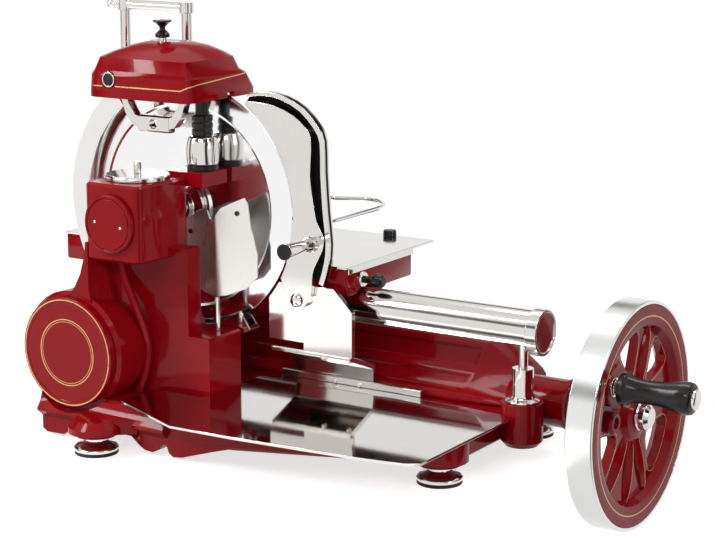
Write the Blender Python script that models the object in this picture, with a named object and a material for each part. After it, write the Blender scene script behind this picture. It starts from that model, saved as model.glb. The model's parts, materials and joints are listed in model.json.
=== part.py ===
"""Hand crank meat slicer with a flywheel, modelled in metres.

X runs along the carriage tube towards the flywheel, Y away from the operator, towards the product side of the
blade, and Z up. The origin lies on the top of the stand that carries the four feet, in the plane of the blade.
The stand isn't part of the model: the flywheel hangs past its edge, lower than the feet.
"""

import math

import bmesh
import bpy
from mathutils import Matrix, Vector

# Clearances and shared settings.
GAP = 0.0003
RUNNING_GAP = 0.0004
OVERRUN = 0.002
SMOOTH_ANGLE = math.radians(35)
FULL_TURN = 2 * math.pi

# Blade and its axis, which runs along Y.
BLADE_RADIUS = 0.150
BLADE_X = -0.1933
BLADE_Z = 0.2672
BLADE_BACK_Y = 0.004
BLADE_THICKNESS = 0.0085
BLADE_WEB = 0.006
BLADE_EDGE = 0.0006
BLADE_BEVEL_THICKNESS = 0.0055
BLADE_BEVEL_WIDTH = 0.026
BLADE_CENTRE_RADIUS = 0.036
BLADE_SHAFT_RADIUS = 0.014
BLADE_HUB_RADIUS = 0.030
BLADE_HUB_LENGTH = 0.008
BLADE_HUB_STEP_RADIUS = 0.019

# Feet and the surface that they stand on.
FOOT_RADIUS = 0.0264
FOOT_HEIGHT = 0.022
FOOT_RIM = 0.008
FOOT_CHAMFER = 0.0018
FOOT_NECK_RADIUS = 0.012
FOOT_FRONT_LEFT_X = -0.201
FOOT_FRONT_LEFT_Y = -0.173
FOOT_FRONT_RIGHT_X = 0.1936
FOOT_FRONT_RIGHT_Y = -0.0566
FOOT_REAR_Y = 0.1655

# Base casting.
BASE_LEFT_X = -0.307
BASE_RIGHT_X = 0.214
BASE_FRONT_Y = -0.150
BASE_REAR_Y = 0.195
BASE_TOP_Z = 0.0564
BASE_BOTTOM_Z = 0.024
BASE_CORNER = 0.026
BASE_EDGE_ROUND = 0.004
BASE_WALL = 0.012
BASE_DECK = 0.012
LUG_RADIUS = 0.033
LUG_FOOT_SHARE = 0.8
SKIRT_DEPTH = 0.014
LEDGE_DEPTH = 0.009
LEDGE_RIGHT_X = -0.115
LEDGE_TOP_Z = 0.041

# Column, gear case and their covers.
COLUMN_LEFT_X = -0.233
COLUMN_RIGHT_X = -0.153
COLUMN_FRONT_Y = -0.146
COLUMN_BACK_Y = -0.050
COLUMN_TOP_Z = 0.313
COLUMN_HEAD_Z = 0.222
COLUMN_ROUND = 0.009
GEAR_CASE_X = -0.2576
GEAR_CASE_Z = 0.1078
GEAR_CASE_RADIUS = 0.0663
GEAR_CASE_WALL = 0.006
GEAR_COVER_THICKNESS = 0.0093
GEAR_COVER_DISH = 0.0016
CAP_RADIUS = 0.0346
CAP_THICKNESS = 0.006
CAP_DISH = 0.0012
SHOULDER_LEFT_X = -0.195
SHOULDER_RIGHT_X = -0.107
SHOULDER_FRONT_Y = -0.077
SHOULDER_BACK_Y = -0.014
SHOULDER_TOP_Z = 0.127
RIB_RADIUS = 0.0045

# Carriage tube, its post and its left support.
TUBE_Y = 0.0555
TUBE_Z = 0.1569
TUBE_RADIUS = 0.0245
TUBE_WALL = 0.0035
TUBE_LEFT_X = -0.296
TUBE_RIGHT_X = 0.2655
TUBE_OPEN_HALF_ANGLE = math.radians(60)
CAP_COLLAR_RADIUS = 0.027
CAP_COLLAR_LENGTH = 0.014
POST_X = 0.237
POST_FOOT_RADIUS = 0.0205
POST_FOOT_HEIGHT = 0.004
POST_SLEEVE_RADIUS = 0.0125
POST_SLEEVE_HEIGHT = 0.035
POST_ROD_RADIUS = 0.0055
POST_BASE_Z = 0.0735
POST_LUG_RADIUS = 0.0245
SUPPORT_WIDTH = 0.026
SUPPORT_WALL = 0.0027

# Flywheel, its shaft and the bearing housing at the end of the base.
SHAFT_Y = 0.108
SHAFT_Z = 0.062
SHAFT_RADIUS = 0.014
SHAFT_LEFT_X = 0.156
HOUSING_RADIUS = 0.0285
HOUSING_FLARE = 0.0025
HOUSING_RIGHT_X = 0.277
HOUSING_PLATE = 0.009
HOUSING_PLATE_HALF = 0.036
SLEEVE_RADIUS = 0.0245
WHEEL_RADIUS = 0.132
WHEEL_WIDTH = 0.032
WHEEL_FACE_X = 0.362
WHEEL_BAND = 0.004
WHEEL_RING_INNER = 0.104
WHEEL_WEB_THICKNESS = 0.011
WHEEL_WEB_SETBACK = 0.011
WHEEL_HUB_RADIUS = 0.027
WHEEL_DISH = 0.0015
WHEEL_STEPS = 40
SPOKE_HALF_WIDTH = 0.0105
SPOKE_RIDGE = 0.0065
WINDOW_INNER_SHARE = 0.49
WINDOW_OUTER = 0.098
ROUND_BOSS_TURN = math.radians(174)
ROUND_BOSS_REACH = 0.063
ROUND_BOSS_RADIUS = 0.0125
NUT_RADIUS = 0.0155
NUT_LENGTH = 0.014

# Crank: its pin on the flywheel and the grip that turns on it.
CRANK_RADIUS = 0.098
CRANK_TURN = math.radians(147)
CRANK_PAD_RADIUS = 0.024
CRANK_PAD_REACH = 0.089
CRANK_PAD_TURN = math.radians(144)
CRANK_PAD_RISE = 0.0015
CRANK_COLLAR_RADIUS = 0.0085
CRANK_COLLAR_LENGTH = 0.0085
CRANK_PIN_RADIUS = 0.0045
GRIP_LENGTH = 0.086
GRIP_RADIUS = 0.0185
GRIP_WAIST_RADIUS = 0.013
GRIP_CAP_RADIUS = 0.0115
GRIP_CAP_LENGTH = 0.004

# Tray and the rail behind it.
TRAY_TOP_Z = 0.060
TRAY_THICKNESS = 0.003
TRAY_RIGHT_X = 0.238
TRAY_FRONT_Y = -0.203
TRAY_TIP_X = -0.1795
RAIL_RIGHT_X = 0.107
RAIL_LEFT_X = -0.090
RAIL_Y = 0.0475
RAIL_THICKNESS = 0.0055
RAIL_TOP_Z = 0.068
RAIL_ROUND = 0.001

# Guard ring round the blade, and the slice deflector.
RING_OUTER = 0.171
RING_BAND = 0.005
RING_LIP_INNER = 0.1535
RING_FRONT_LIP_INNER = 0.146
RING_FRONT_Y = -0.0105
RING_BACK_Y = 0.0085
RING_LIP = 0.0025
RING_START = math.radians(127)
RING_END = math.radians(305)
RING_LEG_WIDTH = 0.016
DEFLECTOR_THICKNESS = 0.002
DEFLECTOR_LEFT_X = -0.187
DEFLECTOR_CREASE_X = -0.1265
DEFLECTOR_RIGHT_X = -0.077
DEFLECTOR_BOTTOM_Z = 0.168
DEFLECTOR_TOP_Z = 0.290
DEFLECTOR_CREASE_Y = -0.034
DEFLECTOR_SWEEP = 0.010
DEFLECTOR_ROD_RADIUS = 0.003

# Sharpener: pedestal, yoke, cover and the plunger with its two stones.
LID_Y = -0.095
LID_RADIUS = 0.038
LID_THICKNESS = 0.006
LID_PIN_RADIUS = 0.0045
LID_PIN_HEIGHT = 0.013
SHELF_LEFT_X = -0.185
SHELF_RIGHT_X = -0.130
SHELF_BACK_Y = -0.006
SHELF_TOP_Z = 0.318
SHELF_THICKNESS = 0.0165
PEDESTAL_X = -0.150
PEDESTAL_Y = -0.026
PEDESTAL_RADIUS = 0.0195
PEDESTAL_BAND = 0.0055
PEDESTAL_HEIGHT = 0.034
PEDESTAL_NECK_RADIUS = 0.0125
PEDESTAL_NECK_HEIGHT = 0.025
PEDESTAL_RIBS = 3
PEDESTAL_ARM_RADIUS = 0.008
YOKE_LEFT_X = -0.242
YOKE_RIGHT_X = -0.192
YOKE_NEAR_Y = -0.034
YOKE_FAR_Y = -0.022
YOKE_BOTTOM_Z = 0.358
YOKE_TOP_Z = 0.378
YOKE_REACH = 0.024
YOKE_ARM = 0.008
YOKE_BORE_RADIUS = 0.006
COVER_LEFT_X = -0.279
COVER_RIGHT_X = -0.128
COVER_FRONT_Y = -0.080
COVER_BACK_Y = 0.056
COVER_BOTTOM_Z = 0.402
COVER_SKIRT = 0.036
COVER_RISE = 0.064
COVER_WALL = 0.007
COVER_CORNER = 0.012
COVER_POCKET_TOP_Z = 0.427
COVER_POCKET_FAR_Y = 0.036
COVER_WELL_LEFT_X = -0.238
COVER_WELL_RIGHT_X = -0.184
COVER_WELL_TOP_Z = 0.448
COVER_WELL_FAR_Y = 0.0145
COVER_SLOT_TOP_Z = 0.409
COVER_SLOT_NEAR_Y = -0.005
COVER_SLOT_FAR_Y = 0.008
PLUNGER_X = -0.211
PLUNGER_Y = -0.020
PLUNGER_STEM_RADIUS = 0.005
PLUNGER_TRAVEL = 0.004
KNOB_RADIUS = 0.0116
KNOB_HEIGHT = 0.021
STONE_RADIUS = 0.014
STONE_THICKNESS = 0.005
STONE_BAR = 0.006
STONE_BLADE_GAP = 0.003

# Carriage, its bearing on the tube, and its rear rollers.
CARRIAGE_LEFT_X = -0.400
CARRIAGE_RIGHT_X = 0.026
CARRIAGE_NEAR_Y = 0.016
CARRIAGE_FAR_Y = 0.162
CARRIAGE_BOTTOM_Z = 0.176
CARRIAGE_TOP_Z = 0.209
CARRIAGE_ROUND = 0.003
CARRIAGE_CHANNEL_RADIUS = 0.0285
BEARING_LENGTH = 0.150
BEARING_RIGHT_X = -0.070
BEARING_RADIUS = 0.0305
BEARING_LIP_ANGLE = math.radians(38)
ROLLER_RADIUS = 0.014
ROLLER_WIDTH = 0.010
ROLLER_PIN_RADIUS = 0.004
ROLLER_SPACING = 0.165
ROLLER_LEFT_X = -0.246
TRACK_Y = 0.148
TRACK_WIDTH = 0.012
TRACK_HEIGHT = 0.005
LEG_THICKNESS = 0.006
LEG_WIDTH = 0.024
FEED_KNOB_Y = 0.0435
FEED_KNOB_Z = 0.1935
FEED_COLLAR_RADIUS = 0.0095
FEED_COLLAR_LENGTH = 0.006
FEED_KNOB_RADIUS = 0.009
FEED_KNOB_LENGTH = 0.026

# Drive cover behind the tube.
COVER_TOP_Z = 0.116
DRIVE_LEFT_X = -0.262
DRIVE_SHOULDER_X = 0.155
DRIVE_RIGHT_X = 0.205
DRIVE_NEAR_Y = 0.062
DRIVE_FAR_Y = 0.188

# Feed table, press posts and press.
TABLE_LEFT_X = -0.400
TABLE_RIGHT_X = 0.028
TABLE_NEAR_Y = 0.012
TABLE_FAR_Y = 0.214
TABLE_THICKNESS = 0.003
TABLE_LIP = 0.009
TABLE_LIP_THICKNESS = 0.0017
TABLE_CORNER = 0.004
PRESS_POST_Y = 0.110
PRESS_POST_LEFT_X = -0.3716
PRESS_POST_RIGHT_X = -0.2736
PRESS_POST_RADIUS = 0.0065
PRESS_POST_TOP_Z = 0.500
CROSSBAR_RADIUS = 0.0062
CROSSBAR_BOSS_RADIUS = 0.009
CROSSBAR_BOSS_HEIGHT = 0.013
LEVER_BALL_RADIUS = 0.0065
LEVER_REACH = 0.012
PRESS_BLOCK_Z = 0.250
PRESS_BLOCK_HEIGHT = 0.040
PRESS_BLOCK_DEPTH = 0.026
PRESS_PLATE_Z = 0.259
PRESS_PLATE_THICKNESS = 0.005
PRESS_PLATE_LEFT_X = -0.262
PRESS_PLATE_RIGHT_X = -0.102
PRESS_PLATE_NEAR_Y = 0.024
PRESS_PLATE_FAR_Y = 0.176
SPIKE_RADIUS = 0.003
SPIKE_LENGTH = 0.011
SPIKE_ROWS = 3
SPIKE_COLUMNS = 3
LOOP_WIRE_RADIUS = 0.0025
LOOP_RIGHT_X = -0.004
LOOP_NEAR_Y = 0.020
LOOP_FAR_Y = 0.180
LOOP_NEAR_CORNER = 0.016
LOOP_FAR_CORNER = 0.050
TABLE_STUD_X = -0.0325
TABLE_STUD_Y = 0.205
TABLE_STUD_RADIUS = 0.0085
TABLE_STUD_HEIGHT = 0.008

# Thickness gauge: back plate with a raised rim, front plate, bracket, foot and lever.
GAUGE_BACK_THICKNESS = 0.004
GAUGE_FRONT_Y = -0.006
GAUGE_RIM_WIDTH = 0.0065
GAUGE_INNER_GAP = 0.0035
GAUGE_FRONT_INNER_GAP = 0.008
GAUGE_TOP_TURN = math.radians(56)
GAUGE_LOW_TURN = math.radians(-21)
BRACKET_LEFT_X = -0.075
BRACKET_RIGHT_X = 0.0417
BRACKET_STEP_X = -0.026
BRACKET_BOTTOM_Z = 0.108
BRACKET_STEP = 0.010
BRACKET_TOP_Z = 0.188
BRACKET_CHAMFER = 0.026
BRACKET_THICKNESS = 0.0075
BRACKET_BLADE_GAP = 0.0045
GAUGE_FOOT_RIGHT_X = 0.039
GAUGE_FOOT_LEFT_X = -0.072
GAUGE_FOOT_Y = 0.052
GAUGE_FOOT_HEIGHT = 0.020
GAUGE_FOOT_THICKNESS = 0.004
LEVER_X = -0.0115
LEVER_Z = 0.239
LEVER_RADIUS = 0.0095
LEVER_LENGTH = 0.052
LEVER_END_LENGTH = 0.003
GAUGE_BOLT_X = -0.0305
GAUGE_BOLT_Z = 0.1705
GAUGE_BOLT_RADIUS = 0.0085
GAUGE_BOLT_HEIGHT = 0.005
GAUGE_TRAVEL = 0.015

# Places worked out from the sizes above.
GEAR_FRONT_Y = COLUMN_FRONT_Y - GAP - GEAR_COVER_THICKNESS
LUG_BOTTOM_Z = FOOT_HEIGHT + GAP
TRAY_BOTTOM_Z = TRAY_TOP_Z - TRAY_THICKNESS
RAIL_BOTTOM_Z = TRAY_BOTTOM_Z
WHEEL_BACK_X = WHEEL_FACE_X - WHEEL_WIDTH
CRANK_Y = SHAFT_Y + CRANK_RADIUS * math.cos(CRANK_TURN)
CRANK_Z = SHAFT_Z + CRANK_RADIUS * math.sin(CRANK_TURN)
CRANK_FACE_X = WHEEL_FACE_X + CRANK_PAD_RISE + GAP
GRIP_LEFT_X = CRANK_FACE_X + CRANK_COLLAR_LENGTH + GAP
LID_TOP_Z = COLUMN_TOP_Z + GAP + LID_THICKNESS
COVER_TOP = COVER_BOTTOM_Z + COVER_RISE
TABLE_BOTTOM_Z = CARRIAGE_TOP_Z + GAP
TABLE_TOP_Z = TABLE_BOTTOM_Z + TABLE_THICKNESS
TRACK_TOP_Z = COVER_TOP_Z + GAP + TRACK_HEIGHT
ROLLER_Z = TRACK_TOP_Z + GAP + ROLLER_RADIUS
CROSSBAR_Z = PRESS_POST_TOP_Z - CROSSBAR_BOSS_HEIGHT / 2

# Outlines, as angles in degrees round the blade axis and shares of the blade's radius.
GAUGE_RIM_SHARES = [
    (56, 1.15), (50, 1.27), (44, 1.36), (37, 1.44), (30, 1.48), (25, 1.477), (16, 1.40), (3, 1.37),
    (-7, 1.405), (-14, 1.418), (-21, 1.42),
]
GAUGE_FRONT_SHARES = [
    (55, 1.085), (45, 1.235), (37, 1.335), (32, 1.374), (29, 1.39), (24, 1.342), (16, 1.264), (8.7, 1.25),
    (0, 1.272), (-5.5, 1.350), (-11, 1.336), (-17, 1.302), (-21, 1.318), (-26, 1.355), (-31, 1.345),
    (-33.5, 1.258), (-32, 1.155),
]
FRONT_LOW_TURN = math.radians(-27.5)

# Tray outline, as shares of its length from the tip and of its depth behind its front edge.
TRAY_SHARES = [
    (0.0, 0.205), (0.262, 0.0), (0.46, 0.004), (0.83, 0.048), (0.965, 0.078), (1.0, 0.115), (1.0, 0.90),
    (0.975, 0.955), (0.69, 1.0), (0.17, 1.0), (0.17, 0.46), (0.0, 0.46),
]
TRAY_DEPTH = 0.2486

# Skirt of the base's front, as shares of its length and of the height from the feet's foot to the deck's top.
SKIRT_SHARES = [
    (0.0, 0.15), (0.024, 0.075), (0.118, 0.085), (0.150, 0.21), (0.22, 0.36), (0.488, 0.36), (0.534, 0.17),
    (0.562, 0.095), (0.601, 0.08), (0.637, 0.17), (0.655, 0.305), (0.673, 0.305), (0.687, 0.134),
    (0.708, 0.057),
    (0.754, 0.086), (0.826, 0.21), (0.915, 0.36), (1.0, 0.49),
]
SKIRT_LENGTH = 0.281

# Sharpener cover, as shares of its height, then how far its sides, front and back draw in by then.
COVER_SHARES = [
    (0.0, 0.0, 0.0, 0.0), (0.11, 0.0, 0.0, 0.0), (0.42, 0.010, 0.004, 0.10), (0.50, 0.03, 0.02, 0.17),
    (0.73, 0.06, 0.055, 0.21), (0.83, 0.13, 0.15, 0.26), (0.93, 0.22, 0.27, 0.32), (1.0, 0.32, 0.38, 0.40),
]

# Windows and spokes of the flywheel, as angles in degrees from +Y towards +Z.
WINDOW_TURNS = [(84, 118), (27, 58), (-60, -13), (-177, -141)]
SPOKE_TURNS = [71, 7, -72, -100, -130]

# Front ledge of the base, as shares of its depth in front of the base and of its height.
LEDGE_SHARES = [(0.0, 0.0), (1.0, 0.28), (1.0, 0.40), (0.45, 0.62), (0.12, 0.86), (0.0, 1.0)]


def clear_scene():
    for obj in list(bpy.data.objects):
        bpy.data.objects.remove(obj, do_unlink=True)


def principled(name, colour, roughness, metallic):
    found = bpy.data.materials.get(name)
    if found:
        return found
    made = bpy.data.materials.new(name)
    made.use_nodes = True
    shader = made.node_tree.nodes["Principled BSDF"]
    shader.inputs["Base Color"].default_value = (*colour, 1)
    shader.inputs["Roughness"].default_value = roughness
    shader.inputs["Metallic"].default_value = metallic
    return made


def red_enamel():
    return principled("red_enamel", (0.36, 0.008, 0.014), 0.12, 0.0)


def chrome():
    return principled("chrome", (0.78, 0.76, 0.74), 0.08, 1.0)


def polished_steel():
    return principled("polished_steel", (0.72, 0.70, 0.68), 0.10, 1.0)


def black_phenolic():
    return principled("black_phenolic", (0.012, 0.012, 0.013), 0.25, 0.0)


def grey_stone():
    return principled("grey_stone", (0.22, 0.21, 0.20), 0.85, 0.0)


def new_object(name, mesh_edit, material, location=(0, 0, 0), parent=None):
    """Turns a bmesh into a named object with outward faces. Location is the object's origin in the world."""
    bmesh.ops.recalc_face_normals(mesh_edit, faces=mesh_edit.faces)
    mesh = bpy.data.meshes.new(name)
    mesh_edit.to_mesh(mesh)
    mesh_edit.free()
    mesh.shade_smooth()
    mesh.set_sharp_from_angle(angle=SMOOTH_ANGLE)
    mesh.materials.append(material)
    obj = bpy.data.objects.new(name, mesh)
    bpy.context.scene.collection.objects.link(obj)
    obj.location = location
    if parent:
        obj.parent = parent
        obj.location = Vector(location) - Vector(parent.location)
    return obj


def axis_empty(name, location):
    """An empty on a joint's axis, which carries the pieces that the joint moves."""
    empty = bpy.data.objects.new(name, None)
    bpy.context.scene.collection.objects.link(empty)
    empty.location = location
    return empty


def helper(obj):
    obj.hide_render = True
    obj.display_type = "WIRE"
    return obj


def boolean(obj, other, operation):
    modifier = obj.modifiers.new(operation.lower(), "BOOLEAN")
    modifier.operation = operation
    modifier.solver = "EXACT"
    modifier.object = helper(other)


def cut(obj, other):
    boolean(obj, other, "DIFFERENCE")


def join(obj, other):
    boolean(obj, other, "UNION")


def round_edges(obj, width, segments=2, angle=math.radians(30)):
    modifier = obj.modifiers.new("rounding", "BEVEL")
    modifier.width = width
    modifier.segments = segments
    modifier.limit_method = "ANGLE"
    modifier.angle_limit = angle
    return obj


def axis_matrix(axis):
    """Turns local +Z into the named world direction."""
    turns = {
        "Z": Matrix.Identity(3),
        "X": Matrix.Rotation(math.pi / 2, 3, "Y"),
        "Y": Matrix.Rotation(-math.pi / 2, 3, "X"),
        "-Y": Matrix.Rotation(math.pi / 2, 3, "X"),
    }
    return turns[axis]


def turned(name, profile, material, axis="Z", location=(0, 0, 0), steps=32, parent=None):
    """Revolves (radius, height) points about the axis. A profile that starts and ends on the axis is a solid of
    revolution, and any other is closed into a ring."""
    edit = bmesh.new()
    turn = axis_matrix(axis)
    rings = []
    for radius, height in profile:
        if radius == 0:
            rings.append([edit.verts.new(turn @ Vector((0, 0, height)))])
            continue
        rings.append([
            edit.verts.new(turn @ Vector((
                radius * math.cos(FULL_TURN * k / steps), radius * math.sin(FULL_TURN * k / steps), height)))
            for k in range(steps)
        ])
    pairs = list(zip(rings, rings[1:]))
    if len(rings[0]) > 1:
        pairs.append((rings[-1], rings[0]))
    for low, high in pairs:
        for k in range(steps):
            after = (k + 1) % steps
            corners = [low[k % len(low)], low[after % len(low)], high[after % len(high)], high[k % len(high)]]
            face = list(dict.fromkeys(corners))
            if len(face) > 2:
                edit.faces.new(face)
    return new_object(name, edit, material, location, parent)


def prism(name, outline, low, high, material, plane="XY", location=(0, 0, 0), parent=None):
    """Extrudes a closed outline between two heights across its plane: XY along Z, XZ along Y, YZ along X."""
    places = {
        "XY": lambda u, v, w: (u, v, w),
        "XZ": lambda u, v, w: (u, w, v),
        "YZ": lambda u, v, w: (w, u, v),
    }
    place = places[plane]
    edit = bmesh.new()
    bottom = [edit.verts.new(place(u, v, low)) for u, v in outline]
    top = [edit.verts.new(place(u, v, high)) for u, v in outline]
    edit.faces.new(bottom)
    edit.faces.new(top)
    count = len(outline)
    for k in range(count):
        after = (k + 1) % count
        edit.faces.new((bottom[k], bottom[after], top[after], top[k]))
    return new_object(name, edit, material, location, parent)


def box(name, low, high, material, parent=None, location=None):
    """A block between two world corners, with its origin at its middle or at the given place."""
    middle = Vector(location) if location else (Vector(low) + Vector(high)) / 2
    near = Vector(low) - middle
    far = Vector(high) - middle
    outline = [(near.x, near.y), (far.x, near.y), (far.x, far.y), (near.x, far.y)]
    return prism(name, outline, near.z, far.z, material, "XY", middle, parent)


def loft(name, sections, material, location=(0, 0, 0), parent=None):
    """Skins closed sections that have the same number of points, with a flat cap at each end."""
    edit = bmesh.new()
    rings = [[edit.verts.new(point) for point in section] for section in sections]
    edit.faces.new(rings[0])
    edit.faces.new(rings[-1])
    for low, high in zip(rings, rings[1:]):
        count = len(low)
        for k in range(count):
            after = (k + 1) % count
            edit.faces.new((low[k], low[after], high[after], high[k]))
    return new_object(name, edit, material, location, parent)


def swept(name, path, radius, material, sides=8, location=(0, 0, 0), parent=None):
    """A round bar along a path of points."""
    edit = bmesh.new()
    points = [Vector(p) for p in path]
    ways = []
    for k, _ in enumerate(points):
        before = points[max(k - 1, 0)]
        after = points[min(k + 1, len(points) - 1)]
        ways.append((after - before).normalized())
    side = ways[0].orthogonal().normalized()
    rings = []
    for point, way in zip(points, ways):
        side = (side - way * side.dot(way)).normalized()
        other = way.cross(side)
        rings.append([
            edit.verts.new(point + radius * (
                side * math.cos(FULL_TURN * s / sides) + other * math.sin(FULL_TURN * s / sides)))
            for s in range(sides)
        ])
    edit.faces.new(rings[0])
    edit.faces.new(rings[-1])
    for low, high in zip(rings, rings[1:]):
        for s in range(sides):
            after = (s + 1) % sides
            edit.faces.new((low[s], low[after], high[after], high[s]))
    return new_object(name, edit, material, location, parent)


def rounded_outline(corners, radius, steps=4):
    """Replaces each corner of a closed outline with an arc. Radius is one value, or one for each corner."""
    radii = radius if isinstance(radius, (list, tuple)) else [radius] * len(corners)
    found = []
    count = len(corners)
    for k, corner in enumerate(corners):
        here = Vector(corner)
        if radii[k] == 0:
            found.append(tuple(here))
            continue
        before = (Vector(corners[k - 1]) - here).normalized()
        after = (Vector(corners[(k + 1) % count]) - here).normalized()
        half = before.angle(after) / 2
        reach = radii[k] / math.tan(half)
        centre = here + (before + after).normalized() * radii[k] / math.sin(half)
        start = here + before * reach - centre
        end = here + after * reach - centre
        sweep = start.angle_signed(end)
        for s in range(steps + 1):
            turn = Matrix.Rotation(-sweep * s / steps, 2)
            found.append(tuple(centre + turn @ start))
    return found


def rectangle(left, near, right, far):
    return [(left, near), (right, near), (right, far), (left, far)]


def arc(centre, radius, start, end, steps):
    return [
        (centre[0] + radius * math.cos(start + (end - start) * k / steps),
         centre[1] + radius * math.sin(start + (end - start) * k / steps))
        for k in range(steps + 1)
    ]


def smooth_path(points, steps=3):
    """Catmull-Rom points through an open row of places."""
    rows = [Vector(p) for p in points]
    rows = [rows[0] * 2 - rows[1], *rows, rows[-1] * 2 - rows[-2]]
    found = []
    for a, b, c, d in zip(rows, rows[1:], rows[2:], rows[3:]):
        for s in range(steps):
            t = s / steps
            found.append(tuple(0.5 * (
                2 * b + (c - a) * t + (2 * a - 5 * b + 4 * c - d) * t * t + (3 * b - a - 3 * c + d) * t ** 3)))
    found.append(tuple(rows[-2]))
    return found


def blade_polar(shares, inset=0.0):
    """Points of a table of (degrees, share of the blade's radius) round the blade axis, in X and Z."""
    return [
        (BLADE_X + (share * BLADE_RADIUS - inset) * math.cos(math.radians(turn)),
         BLADE_Z + (share * BLADE_RADIUS - inset) * math.sin(math.radians(turn)))
        for turn, share in shares
    ]


def place_shares(shares, left, low, width, height):
    return [(left + u * width, low + v * height) for u, v in shares]


def make_feet():
    """Four levelling feet: a chromed cup on a short neck."""
    profile = [
        (0, 0), (FOOT_RADIUS - FOOT_CHAMFER, 0), (FOOT_RADIUS, FOOT_CHAMFER), (FOOT_RADIUS, FOOT_RIM),
        (FOOT_RADIUS - FOOT_CHAMFER, FOOT_RIM + FOOT_CHAMFER),
        (FOOT_NECK_RADIUS, (FOOT_RIM + FOOT_HEIGHT) / 2),
        (FOOT_NECK_RADIUS, FOOT_HEIGHT), (0, FOOT_HEIGHT),
    ]
    places = foot_places()
    for name, (x, y) in places.items():
        turned(name, profile, chrome(), "Z", (x, y, 0), 14)


def foot_places():
    return {
        "foot_front_left": (FOOT_FRONT_LEFT_X, FOOT_FRONT_LEFT_Y),
        "foot_front_right": (FOOT_FRONT_RIGHT_X, FOOT_FRONT_RIGHT_Y),
        "foot_rear_left": (FOOT_FRONT_LEFT_X, FOOT_REAR_Y),
        "foot_rear_right": (FOOT_FRONT_RIGHT_X, FOOT_REAR_Y),
    }


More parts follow.
